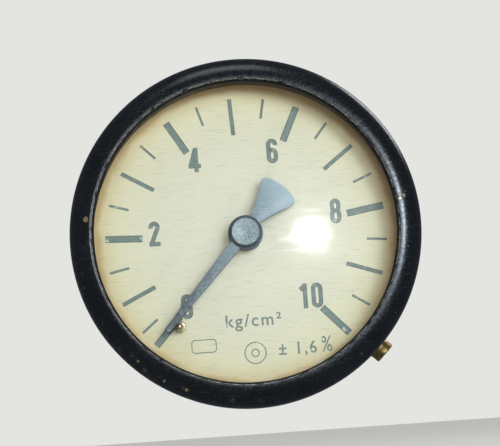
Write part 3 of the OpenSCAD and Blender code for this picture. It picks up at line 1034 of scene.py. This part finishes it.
@dataclass
class SlottedScrews:
    """A set of slotted cheese-head screws that stand for one CAD node."""

    name: str
    node: str
    slot: str
    finish: WornMetal
    places: Sequence[Matrix]
    shank_radius: float
    shank_length: float
    head_radius: float
    head_height: float
    slot_width: float = 0.5
    rounding: float = 0.22

    def build(self) -> None:
        """Turns the screws, slots their heads and puts them in place."""
        screws = []
        for place in self.places:
            section = [
                Corner(0.0, -self.shank_length),
                Corner(self.shank_radius, -self.shank_length, 0.2, 2),
                Corner(self.shank_radius, 0.0),
                Corner(self.head_radius, 0.0, 0.08, 2),
                Corner(self.head_radius, self.head_height, self.rounding, 4),
                Corner(0.0, self.head_height),
            ]
            slot = box(
                (3 * self.head_radius, self.slot_width, self.head_height),
                (0.0, 0.0, self.head_height),
            )
            screw = cut(turned(section, 48), slot)
            screw.transform(place)
            screws.append(screw)
        Piece(
            self.name, joined(screws), [self.finish.make()], Body.GAUGE, self.slot, (self.node,)
        ).place()


@dataclass
class Fasteners:
    """The screw in the bezel's skirt and the screws in the back of the case."""

    bezel_angle: float = -44.6
    above_dial: float = 0.5
    washer: float = 0.5
    bezel_slot_turn: float = 25.0
    case_circle: float = 11.8
    case_angles: tuple[float, ...] = (30.0, 150.0, 270.0)
    case_slot_turn: float = 40.0

    def build(self) -> None:
        """Makes the screws; the Z of each place points out of the gauge."""
        seat = Vector((radius_of("bezel_ring") + self.washer, 0, front_of("dial_plate") + self.above_dial))
        turn = Matrix.Rotation(math.radians(self.bezel_angle), 4, "Z")
        out = Matrix.Rotation(math.pi / 2, 4, "Y")
        out @= Matrix.Rotation(math.radians(self.bezel_slot_turn), 4, "Z")
        SlottedScrews(
            name="skirt_screw",
            node="bezel_screw",
            slot="brass_screw",
            finish=WornMetal("turned_brass_screw", "#c2a05e", "#77633c", 0.5, 0.24, Lay.CAST, 0.15, 0.9),
            places=[turn @ Matrix.Translation(seat) @ out],
            shank_radius=1.0,
            shank_length=3.55,
            head_radius=2.05,
            head_height=1.3,
        ).build()
        back = Vector((0, 0, back_of("case")))
        SlottedScrews(
            name="back_screws",
            node="case_screws",
            slot="screw_steel",
            finish=WornMetal("zinc_plated_steel", "#a9adb0", "#6a675f", 0.45, 0.26, Lay.CAST, 0.15, 1.2),
            places=[
                Matrix.Translation(unit(a) * self.case_circle + back)
                @ Matrix.Rotation(math.radians(a + self.case_slot_turn), 4, "Z")
                @ Matrix.Rotation(math.pi, 4, "X")
                for a in self.case_angles
            ],
            shank_radius=1.5,
            shank_length=4.3,
            head_radius=2.6,
            head_height=1.6,
        ).build()


# ---- Dial ----


class Pen:
    """Draws flat strokes of one width. A stroke starts as a short line across its own way."""

    def __init__(self, bm: bmesh.types.BMesh, width: float, height: float) -> None:
        """Takes the pen in hand.

        Args:
            bm: the mesh to draw in.
            width: the stroke's width in mm.
            height: the height of the stroke's face, in mm from the stem's shoulder.
        """
        self.bm = bm
        self.width = width
        self.height = height
        self.side = bm.verts.layers.float.get("side") or bm.verts.layers.float.new("side")
        self.edge: bmesh.types.BMEdge
        self.spot = Vector((0.0, 0.0, height))
        self.heading = 0.0

    def start(self, spot: Vector, heading: float) -> "Pen":
        """Sets the pen down.

        Args:
            spot: the start of the stroke's middle line.
            heading: its direction in degrees.

        Returns:
            The pen.
        """
        self.spot = Vector((spot.x, spot.y, self.height))
        self.heading = heading
        across = unit(heading + 90) * (self.width / 2)
        ends = [self.bm.verts.new(self.spot + across * s) for s in (1, -1)]
        for vert, side in zip(ends, (0.0, 1.0)):
            vert[self.side] = side
        self.edge = self.bm.edges.new(ends)
        self.height += 0.003  # strokes that cross don't share a plane
        return self

    def forward(self, length: float) -> "Pen":
        """Draws a straight stretch of that length."""
        made = bmesh.ops.extrude_edge_only(self.bm, edges=[self.edge])["geom"]
        verts = [g for g in made if isinstance(g, bmesh.types.BMVert)]
        step = unit(self.heading) * length
        bmesh.ops.translate(self.bm, vec=step, verts=verts)
        self.edge = self.bm.edges.get(verts)
        self.spot = self.spot + step
        return self

    def turn(self, radius: float, degrees: float) -> "Pen":
        """Draws an arc.

        Args:
            radius: the radius of its middle line.
            degrees: how far it turns, to the left if positive.

        Returns:
            The pen.
        """
        sign = 1 if degrees > 0 else -1
        centre = self.spot + unit(self.heading + 90 * sign) * radius
        steps = max(3, round(abs(degrees) / 10))
        made = spun(self.bm, [self.edge, *self.edge.verts], math.radians(degrees), steps, centre)
        self.edge = next(g for g in made if isinstance(g, bmesh.types.BMEdge))
        self.spot = centre + Matrix.Rotation(math.radians(degrees), 3, "Z") @ (self.spot - centre)
        self.heading += degrees
        return self


@dataclass
class Digits:
    """Bold condensed figures, drawn with a round pen."""

    height: float = 4.75
    width: float = 2.15
    stroke: float = 0.82

    def __post_init__(self) -> None:
        """Works out the middle lines."""
        self.radius = (self.width - self.stroke) / 2
        self.top = (self.height - self.stroke) / 2
        self.straight = 2 * (self.top - self.radius)

    def draw(self, bm: bmesh.types.BMesh, figure: str, centre: Vector, height: float) -> None:
        """Draws one figure.

        Args:
            bm: the mesh to draw in.
            figure: a single figure.
            centre: the figure's centre.
            height: the height of the ink's face.
        """
        pen = Pen(bm, self.stroke, height)
        {
            "0": self._zero,
            "1": self._one,
            "2": self._two,
            "4": self._four,
            "6": self._six,
            "8": self._eight,
        }[figure](pen, centre)

    def _zero(self, pen: Pen, c: Vector) -> None:
        """An upright ring with straight sides."""
        pen.start(c + Vector((-self.radius, -self.straight / 2, 0)), 90).forward(self.straight)
        pen.turn(self.radius, -180).forward(self.straight).turn(self.radius, -180)

    def _one(self, pen: Pen, c: Vector) -> None:
        """A stem with a short flag."""
        pen.start(c + Vector((0.25, -self.height / 2, 0)), 90).forward(self.height)
        pen.start(c + Vector((0.25, self.top - 0.05, 0)), 217).forward(1.15)

    def _two(self, pen: Pen, c: Vector) -> None:
        """A hook, a slanting stretch that leaves it smoothly, and a foot."""
        head = c + Vector((0, self.top - self.radius, 0))
        foot = c + Vector((-self.radius, -self.top, 0))
        away = foot - head
        leave = math.degrees(math.atan2(away.y, away.x) + math.acos(self.radius / away.length))
        swept = 180 - (leave % 360 if leave % 360 < 180 else leave % 360 - 360)
        reach = math.sqrt(away.length**2 - self.radius**2)
        pen.start(head + Vector((-self.radius, -0.25, 0)), 90).forward(0.25)
        pen.turn(self.radius, -swept).forward(reach)
        pen.start(foot + Vector((-self.stroke / 2, 0, 0)), 0).forward(self.width)

    def _four(self, pen: Pen, c: Vector) -> None:
        """A slanting stretch, a low bar and a stem."""
        bar = -self.top + 0.78
        stem = 0.32
        apex = c + Vector((stem - 0.12, self.top, 0))
        corner = c + Vector((-self.radius - 0.1, bar, 0))
        slant = corner - apex
        heading = math.degrees(math.atan2(slant.y, slant.x))
        pen.start(apex - slant.normalized() * 0.3, heading).forward(slant.length + 0.3)
        pen.start(c + Vector((-self.width / 2 - 0.1, bar, 0)), 0).forward(self.width + 0.25)
        pen.start(c + Vector((stem, self.height / 2, 0)), -90).forward(self.height)

    def _six(self, pen: Pen, c: Vector) -> None:
        """A hooked stem that closes in a bowl."""
        bowl = 0.45  # straight stretch of the bowl's sides
        pen.start(c + Vector((self.radius, self.top - self.radius - 0.2, 0)), 90).forward(0.2)
        pen.turn(self.radius, 180).forward(self.straight).turn(self.radius, 180)
        pen.forward(bowl + 0.35).turn(self.radius, 130)

    def _eight(self, pen: Pen, c: Vector) -> None:
        """Two rings, the upper one smaller."""
        for share, middle in ((0.9, 0.5), (1.0, -0.5)):
            radius = self.radius * share
            half = self.top * (0.48 if middle > 0 else 0.52)
            centre_y = self.top - half if middle > 0 else -self.top + half
            straight = max(2 * (half - radius), 0.05)
            pen.start(c + Vector((-radius, centre_y - straight / 2, 0)), 90).forward(straight)
            pen.turn(radius, -180).forward(straight).turn(radius, -180)


@dataclass
class Dial:
    """Dial plate with its printed scale, figures and small print, and the stop pin."""

    ink_height: float = 0.02
    centre_value: float = 5.0
    centre_angle: float = 93.15
    degrees_per_unit: float = 28.05
    zero_angle: float = 227.0
    shift: Vector = field(default_factory=lambda: Vector((0.05, -0.4, 0.0)))
    full_scale: int = 10
    outer_radius: float = 26.85
    long_radius: float = 19.74
    short_radius: float = 23.0
    widths: dict[str, float] = field(default_factory=lambda: {"even": 1.33, "odd": 0.78, "half": 0.46})
    figures: tuple[tuple[str, float, float], ...] = (
        ("2", -17.35, 1.3),
        ("4", -8.85, 15.0),
        ("6", 6.15, 15.75),
        ("8", 17.4, 3.3),
        ("10", 11.45, -12.5),
        ("0", -12.05, -13.0),
    )
    figure_pitch: float = 2.5
    plate: float = 0.8  # thickness of the dial plate
    pin_radius: float = 0.65
    collar_height: float = 0.5

    def build(self) -> None:
        """Dresses the plate and prints on it."""
        self.face = front_of("dial_plate")
        self.top = self.face + self.ink_height
        self.ink = ScreenInk().make()
        dress("dial_plate", DialLacquer().make())
        self._scale()
        self._figures()
        self._small_print()
        self._stop_pin()

    def angle_of(self, value: float) -> float:
        """The direction of a scale mark, in degrees; the zero mark stands at the stop."""
        if value == 0:
            return self.zero_angle
        return self.centre_angle - self.degrees_per_unit * (value - self.centre_value)

    def _printed(self, bm: bmesh.types.BMesh, name: str) -> None:
        """Gives flat strokes their thickness and prints them.

        Args:
            bm: the strokes.
            name: the piece's name.
        """
        bmesh.ops.remove_doubles(bm, verts=bm.verts, dist=TOUCH)
        for face in bm.faces:
            face.normal_update()
            if face.normal.z < 0:
                face.normal_flip()
        across = bm.loops.layers.uv.new("across")
        side = bm.verts.layers.float.get("side")
        bmesh.ops.solidify(bm, geom=list(bm.faces), thickness=self.ink_height)
        for face in bm.faces:
            for loop in face.loops:
                loop[across].uv = (loop.vert[side] if side else 0.5, 0.0)
        Piece(name, bm, [self.ink], Body.GAUGE, "dial_lacquer").place()

    def _scale(self) -> None:
        """Prints a mark at every half unit."""
        bm = bmesh.new()
        for half in range(2 * self.full_scale + 1):
            value = half / 2
            kind = "half" if half % 2 else ("odd" if value % 2 else "even")
            inner = self.short_radius if kind == "half" else self.long_radius
            way = self.angle_of(value)
            start = self.shift + unit(way) * inner
            Pen(bm, self.widths[kind], self.top).start(start, way).forward(self.outer_radius - inner)
        self._printed(bm, "scale_marks")

    def _figures(self) -> None:
        """Prints the figures of the scale."""
        bm = bmesh.new()
        digits = Digits()
        for text, x, y in self.figures:
            for i, figure in enumerate(text):
                shift = (i - (len(text) - 1) / 2) * self.figure_pitch
                digits.draw(bm, figure, Vector((x + shift, y, 0)), self.top)
        self._printed(bm, "scale_figures")

    def _small_print(self) -> None:
        """Prints the unit and the accuracy class, and two plain signs that stand for marks."""
        self._text("unit", "kg/cm²", (-5.1, -17.5), 3.35, 1.0, 0.04)
        self._text("accuracy", "± 1,6", (4.6, -23.3), 3.3, 0.9, 0.04)
        self._text("per_cent", "%", (12.7, -23.2), 4.2, 0.78, 0.03)
        bm = bmesh.new()
        ring = Pen(bm, 0.2, self.top)
        ring.start(Vector((0.3, -24.6, 0)), 0).turn(2.0, 360)
        Pen(bm, 0.2, self.top).start(Vector((0.3, -23.3, 0)), 0).turn(0.7, 360)
        outline = Pen(bm, 0.18, self.top).start(Vector((-11.0, -21.9, 0)), 0)
        for _ in range(2):
            outline.forward(3.4).turn(0.6, 90).forward(1.2).turn(0.6, 90)
        self._printed(bm, "plain_signs")

    def _text(
        self, name: str, words: str, start: tuple[float, float], size: float, narrow: float, bold: float
    ) -> None:
        """Prints a line of text.

        Args:
            name: the piece's name.
            words: the text.
            start: where its baseline starts, in mm.
            size: the size of its letters in mm.
            narrow: how far they are narrowed.
            bold: how much thicker than plain their strokes are.
        """
        curve = bpy.data.curves.new(name, "FONT")
        curve.body = words
        curve.size = size
        curve.offset = bold
        curve.resolution_u = 4
        curve.space_character = 1.2
        obj = linked(name + "_curve", curve)
        flat = bpy.data.meshes.new_from_object(obj.evaluated_get(bpy.context.evaluated_depsgraph_get()))
        bm = bmesh.new()
        bm.from_mesh(flat)
        bpy.data.objects.remove(obj)
        bpy.data.curves.remove(curve)
        bpy.data.meshes.remove(flat)
        shift = Matrix.Translation((*start, self.top)) @ Matrix.Diagonal((narrow, 1.0, 1.0, 1.0))
        bm.transform(shift)
        self._printed(bm, name)

    def _stop_pin(self) -> None:
        """Turns the stop pin with its domed end and its collar."""
        low, high = (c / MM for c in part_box("stop_pin"))
        centre = Vector(((low.x + high.x) / 2, (low.z + high.z) / 2, 0))
        collar = (high.x - low.x) / 2
        pin, face = self.pin_radius, self.face
        end, foot = front_of("stop_pin"), back_of("stop_pin")
        section = [
            Corner(0.0, foot),
            Corner(collar, foot, 0.08, 2),
            Corner(collar, face - self.plate),
            Corner(pin, face - self.plate),
            Corner(pin, face),
            Corner(collar, face),
            Corner(collar, face + self.collar_height, 0.16, 4),
            Corner(pin, face + self.collar_height),
            Corner(pin, end, pin * 0.98, 10),
            Corner(0.0, end),
        ]
        bm = turned(section, 64)
        bm.transform(Matrix.Translation(centre))
        metal = WornMetal("turned_brass_pin", "#c3b48d", "#6d654f", 0.35, 0.14, Lay.CAST, 0.2, 0.6)
        Piece("zero_stop", bm, [metal.make()], Body.GAUGE, "brass_pin", ("stop_pin",)).place()


# ---- Pointer ----


@dataclass
class Pointer:
    """Painted pointer with a flared tail, and the turned hub that carries it."""

    direction: float = 227.8
    length: float = 24.1
    tip_half: float = 0.575
    middle: float = 10.0
    middle_half: float = 0.93
    neck_half: float = 1.2
    flare_start: float = 3.0
    flare_end: float = 9.14
    flare_half: float = 3.616
    flare_power: float = 1.3
    flare_steps: int = 16
    corner: tuple[float, float] = (-9.715, 2.563)
    corner_radius: float = 1.2
    corner_side: float = 61.4
    tail_radius: float = 11.25
    edge_rounding: float = 0.1
    hub_flat: float = 2.6
    hub_bushing: float = 3.28
    hub_spigot: float = 1.5

    def build(self) -> None:
        """Builds the pointer and its hub."""
        self._blade()
        self._hub()

    def _outline(self) -> list[Vector]:
        """The upper half of the outline, from the tip to the end of the tail."""
        tip = Vector((self.length - self.tip_half, 0, 0))
        points = [tip + unit(a) * self.tip_half for a in (0, 15, 30, 45, 60, 75, 90)]
        points.append(Vector((self.middle, self.middle_half, 0)))
        for i in range(self.flare_steps + 1):
            share = i / self.flare_steps
            along = self.flare_start + (self.flare_end - self.flare_start) * share
            half = self.neck_half + (self.flare_half - self.neck_half) * share**self.flare_power
            points.append(Vector((-along, half, 0)))
        corner = Vector((*self.corner, 0))
        side, end = self.corner_side, math.degrees(math.atan2(corner.y, corner.x))
        points += [corner + unit(side + (end - side) * i / 8) * self.corner_radius for i in range(1, 8)]
        points += [unit(end + (180 - end) * i / 8) * self.tail_radius for i in range(9)]
        return points

    def _blade(self) -> None:
        """Stamps the blade and tail in one, and breaks their upper edge."""
        low, high = back_of("pointer"), front_of("pointer")
        half = self._outline()
        ring = half + [Vector((p.x, -p.y, 0)) for p in reversed(half) if p.y > TOUCH]
        bm = bmesh.new()
        bm.faces.new([bm.verts.new(p + Vector((0, 0, low))) for p in ring])
        raised = bmesh.ops.extrude_face_region(bm, geom=list(bm.faces), use_keep_orig=True)["geom"]
        bmesh.ops.translate(
            bm, vec=(0, 0, high - low), verts=[g for g in raised if isinstance(g, bmesh.types.BMVert)]
        )
        bmesh.ops.recalc_face_normals(bm, faces=bm.faces)
        rim = [e for e in bm.edges if all(v.co.z > high - TOUCH for v in e.verts)]
        bmesh.ops.bevel(
            bm,
            geom=rim,
            offset=self.edge_rounding,
            segments=2,
            profile=0.5,
            affect="EDGES",
            material=-1,
        )
        hole = [Corner(0, low - 1), Corner(self.hub_spigot, low - 1)]
        hole += [Corner(self.hub_spigot, high + 1), Corner(0, high + 1)]
        bm = cut(bm, turned(hole, 48))
        bm.transform(Matrix.Rotation(math.radians(self.direction), 4, "Z"))
        bmesh.ops.dissolve_limit(
            bm, angle_limit=math.radians(0.1), verts=bm.verts, edges=bm.edges, delimit={"NORMAL"}
        )
        for face in bm.faces:
            face.normal_update()
            # the side walls take the near-black painted shade
            face.material_index = 1 if abs(face.normal.z) < 0.3 else 0
        paint = PointerPaint(direction=self.direction, tip=self.length).make()
        Piece(
            "pointer_painted", bm, [paint, PaintedShadeEdge().make()], Body.POINTER, "pointer_paint", ("pointer",)
        ).place()

    def _hub(self) -> None:
        """Turns the hub: a cap with a bevel, and the spigot and bushing below it."""
        back, top = back_of("pointer_hub"), front_of("pointer_hub")
        blade_back, blade_front = back_of("pointer"), front_of("pointer")
        outer = self.hub_flat + 0.5
        section = [
            Corner(0.0, back),
            Corner(self.hub_bushing, back, 0.15, 3),
            Corner(self.hub_bushing, blade_back, 0.08, 2),
            Corner(self.hub_spigot, blade_back),
            Corner(self.hub_spigot, blade_front),
            Corner(outer, blade_front, 0.05, 2),
            Corner(outer, top - 0.42, 0.15, 4),
            Corner(self.hub_flat, top, 0.1, 4),
            Corner(self.hub_flat - 0.2, top - 0.03, 0.06, 2),
            Corner(0.35, top - 0.03),
            Corner(0.0, top - 0.12),
        ]
        metal = HubMetal(flat_radius=self.hub_flat).make()
        Piece(
            "hub_cap", turned(section, 96), [metal], Body.POINTER, "hub_metal", ("pointer_hub",)
        ).place()


# ---- Stem, tube and movement ----


@dataclass
class Connection:
    """Threaded stem with the gasket and the restrictor that belong to it."""

    thread_radius: float = 6.0
    pitch: float = 1.5
    thread_length: float = 13.0
    relief_length: float = 1.5
    relief_radius: float = 5.0
    steps_per_turn: int = 40
    depth_share: float = 0.6134  # depth of the thread as a share of its pitch
    flank: float = 30.0
    past: float = 0.15  # how far the cutter stands out of the thread, in mm
    run_out: float = 0.6

    def build(self) -> None:
        """Cuts the stem's thread and dresses what is round it."""
        brass = WornMetal("machined_brass", "#b98f4a", "#6d5833", 0.45, 0.26, Lay.TURNED, 0.18, 2.4)
        stem = bmesh.new()
        stem.from_mesh(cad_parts["stem"].data)
        bmesh.ops.remove_doubles(stem, verts=stem.verts, dist=TOUCH * MM)
        stem.transform(STAND.inverted())
        stem = cut(stem, self._groove())
        stem = cut(stem, self._relief())
        Piece("threaded_stem", stem, [brass.make()], Body.GAUGE, "stem_brass", ("stem",)).place()
        dress("restrictor_screw", brass.make())
        dress("stem_gasket", DullSolid("vulcanised_fibre", "#5a3d28", "#7d5a3e", 0.7, 0.25).make())

    def _groove(self) -> bmesh.types.BMesh:
        """The helical groove of the thread, as a solid that runs out past the stem's end."""
        crest = self.thread_radius + self.past
        root = self.thread_radius - self.depth_share * self.pitch
        bottom = self.pitch / 8
        top = bottom + (crest - root) * math.tan(math.radians(self.flank))
        start = -self.thread_length - self.pitch
        bm = bmesh.new()
        corners = ((root, -bottom), (crest, -top), (crest, top), (root, bottom))
        face = bm.faces.new([bm.verts.new((r, 0.0, start + z)) for r, z in corners])
        turns = (self.thread_length + self.pitch - 0.5 * self.relief_length) / self.pitch
        steps = round(turns * self.steps_per_turn)
        angle = 2 * math.pi * steps / self.steps_per_turn
        spun(bm, [face, *face.edges, *face.verts], angle, steps, rise=self.pitch / self.steps_per_turn)
        bmesh.ops.recalc_face_normals(bm, faces=bm.faces)
        return bm

    def _relief(self) -> bmesh.types.BMesh:
        """The ring cut away where the thread ends at the shoulder."""
        return turned(
            [
                Corner(self.relief_radius, -self.relief_length),
                Corner(self.thread_radius + 1, -self.relief_length - self.run_out),
                Corner(self.thread_radius + 1, -0.01),
                Corner(self.relief_radius, -0.01, 0.2, 3),
            ],
            96,
        )


@dataclass
class PressureTube:
    """Bourdon tube: a flattened bronze tube bent to an arc."""

    mean_radius: float = 20.0
    thickness: float = 3.6
    width: float = 9.0
    axis_height: float = 19.2
    foot: float = -115.0
    tip: float = -20.0
    steps: int = 132

    def build(self) -> None:
        """Draws the tube from its foot to its tip."""
        bm = bmesh.new()
        half_t, half_w = self.thickness / 2, self.width / 2
        corners = ((-1, -1), (1, -1), (1, 1), (-1, 1))
        section = [
            bm.verts.new((self.mean_radius + sx * half_t, 0.0, self.axis_height + sy * half_w))
            for sx, sy in corners
        ]
        bm.faces.new(section)
        bmesh.ops.bevel(
            bm, geom=section, offset=half_t * 0.98, segments=8, profile=0.5, affect="VERTICES", material=-1
        )
        bmesh.ops.rotate(
            bm, cent=(0, 0, 0), matrix=Matrix.Rotation(math.radians(self.tip), 3, "Z"), verts=bm.verts
        )
        sweep = math.radians(360 + self.foot - self.tip)
        spun(bm, list(bm.faces) + list(bm.edges) + list(bm.verts), sweep, self.steps)
        bmesh.ops.recalc_face_normals(bm, faces=bm.faces)
        bronze = WornMetal("drawn_phosphor_bronze", "#b07a4a", "#7a5437", 0.4, 0.25, Lay.ROLLED, 0.15, 3.0)
        tube = Piece(
            "pressure_tube", bm, [bronze.make()], Body.GAUGE, "tube_bronze", ("bourdon_tube",)
        ).place()
        tube.parent = None
        ends = [STAND @ (unit(a) * self.mean_radius) for a in (self.foot, self.tip)]
        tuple(ends[0])
        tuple(ends[1])
        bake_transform(tube)


@dataclass
class Movement:
    """Gear movement between its two plates. Its CAD shapes are right, and get their metals here."""

    metals: tuple[tuple[WornMetal, tuple[str, ...]], ...] = (
        (
            WornMetal("rolled_brass", "#c9a75c", "#8d7542", 0.3, 0.24, Lay.ROLLED, 0.1),
            ("movement_back_plate", "movement_front_plate", "sector_gear", "tube_tip"),
        ),
        (
            WornMetal("turned_brass", "#cbaa62", "#8f7846", 0.25, 0.2, Lay.CAST, 0.1),
            ("movement_pillars", "hairspring_collet", "hairspring_stud"),
        ),
        (
            WornMetal("ground_steel", "#b4b7ba", "#7e7f80", 0.25, 0.22, Lay.ROLLED, 0.08),
            ("pinion_arbor", "sector_arbor", "sector_link_rivet", "link"),
        ),
        (
            WornMetal("screw_steel", "#a7abb0", "#5f5c58", 0.35, 0.25, Lay.CAST, 0.12),
            ("front_plate_screws", "movement_screws", "tip_link_screw"),
        ),
        (
            WornMetal("phosphor_bronze_strip", "#c1925a", "#84603a", 0.2, 0.2, Lay.ROLLED, 0.05),
            ("hairspring",),
        ),
    )

    def build(self) -> None:
        """Dresses every node of the movement."""
        for metal, nodes in self.metals:
            material = metal.make()
            for node in nodes:
                dress(node, material)


# ---- Studio ----


def set_towards(obj: bpy.types.Object, place: Sequence[float], aim: Sequence[float], roll: float) -> None:
    """Stands a camera or a lamp at a place, turned to a point.

    Args:
        obj: the camera or the lamp.
        place: where it stands.
        aim: the point it looks at.
        roll: how far it is rolled round its own way, in degrees.
    """
    way = (Vector(aim) - Vector(place)).to_track_quat("-Z", "Y")
    obj.location = place
    obj.rotation_mode = "QUATERNION"
    obj.rotation_quaternion = way @ Quaternion((0, 0, 1), math.radians(roll))


@dataclass
class SoftLight:
    """An area light: where it stands and its size in metres, its power in watts and its tint."""

    name: str
    place: tuple[float, float, float]
    size: float
    power: float
    tint: str = "#ffffff"
    round_face: bool = False

    def light(self, aim: Vector) -> None:
        """Switches the light on, turned to aim."""
        data = bpy.data.lights.new(self.name, "AREA")
        data.shape = "DISK" if self.round_face else "SQUARE"
        data.size = self.size
        data.energy = self.power
        data.color = linear(self.tint)[:3]
        set_towards(linked(self.name, data), self.place, aim, 0.0)


@dataclass
class Studio:
    """Camera, soft lights, pale floor and pale surroundings."""

    camera_place: tuple[float, float, float] = (-0.00072, -0.32247, -0.03546)
    camera_aim: tuple[float, float, float] = (0.000978, -0.031, 0.002221)
    camera_roll: float = -4.02
    lens: float = 110.65
    floor_height: float = -0.062
    floor_radius: float = 3.0
    seen: tuple[str, float] = ("#e4e4e1", 1.0)
    mirrored: tuple[str, float] = ("#8d98a3", 0.35)
    lights: tuple[SoftLight, ...] = (
        SoftLight("near_lamp", (0.034, -0.534, 0.0586), 0.009, 0.26, "#f6f6ff", True),
        SoftLight("right_box", (0.26, -0.75, 0.1), 0.13, 1.9, "#d6e5f4"),
        SoftLight("top_box", (-0.05, -0.5, 0.8), 0.4, 1.0, "#eaf2fb"),
        SoftLight("back_box", (0.75, 0.6, 0.75), 0.5, 2.5, "#fbfcff"),
    )

    def build(self) -> None:
        """Sets the scene round the gauge."""
        self._camera()
        self._floor()
        self._surroundings()
        low, high = cad_box
        for light in self.lights:
            light.light((low + high) / 2)
        bpy.context.scene.view_settings.view_transform = "Standard"

    def _camera(self) -> None:
        """Aims the camera at the dial and rolls it."""
        data = bpy.data.cameras.new("camera")
        data.lens = self.lens
        data.clip_start = 0.01
        data.clip_end = 20.0
        camera = linked("camera", data)
        set_towards(camera, self.camera_place, self.camera_aim, self.camera_roll)
        bpy.context.scene.camera = camera

    def _floor(self) -> None:
        """Lays a plain pale floor."""
        bm = bmesh.new()
        bmesh.ops.create_circle(
            bm,
            cap_ends=True,
            segments=96,
            radius=self.floor_radius,
            matrix=Matrix.Translation((0, 0, self.floor_height)),
        )
        floor = linked("floor", meshed("floor", bm))
        floor.data.materials.append(DullSolid("pale_paper", "#d9d9d6", "#dfdfdc", 0.9, 30.0, 0.0).make())
        floor.visible_glossy = False

    def _surroundings(self) -> None:
        """Makes a pale world that is dimmer in reflections, as in a room with dark walls."""
        world = bpy.data.worlds.new("studio")
        bpy.context.scene.world = world
        world.use_nodes = True
        tree = world.node_tree
        tree.nodes.clear()
        seen, mirrored = (
            add_node(tree, Kind.BACKGROUND, inputs={"Color": linear(code), "Strength": strength})
            for code, strength in (self.seen, self.mirrored)
        )
        glossy = add_node(tree, Kind.LIGHT_PATH).node.outputs["Is Glossy Ray"]
        light = add_node(tree, Kind.MIX_SHADER, inputs={0: glossy, 1: seen, 2: mirrored})
        add_node(tree, Kind.WORLD_OUTPUT, inputs={"Surface": light})


def main() -> None:
    """Builds the gauge and the studio round it."""
    logging.basicConfig(level=logging.INFO, format="%(message)s")
    for part in (Studio, Housing, Dial, Pointer, Fasteners, Connection, PressureTube, Movement):
        part().build()


if __name__ == "__main__":
    main()
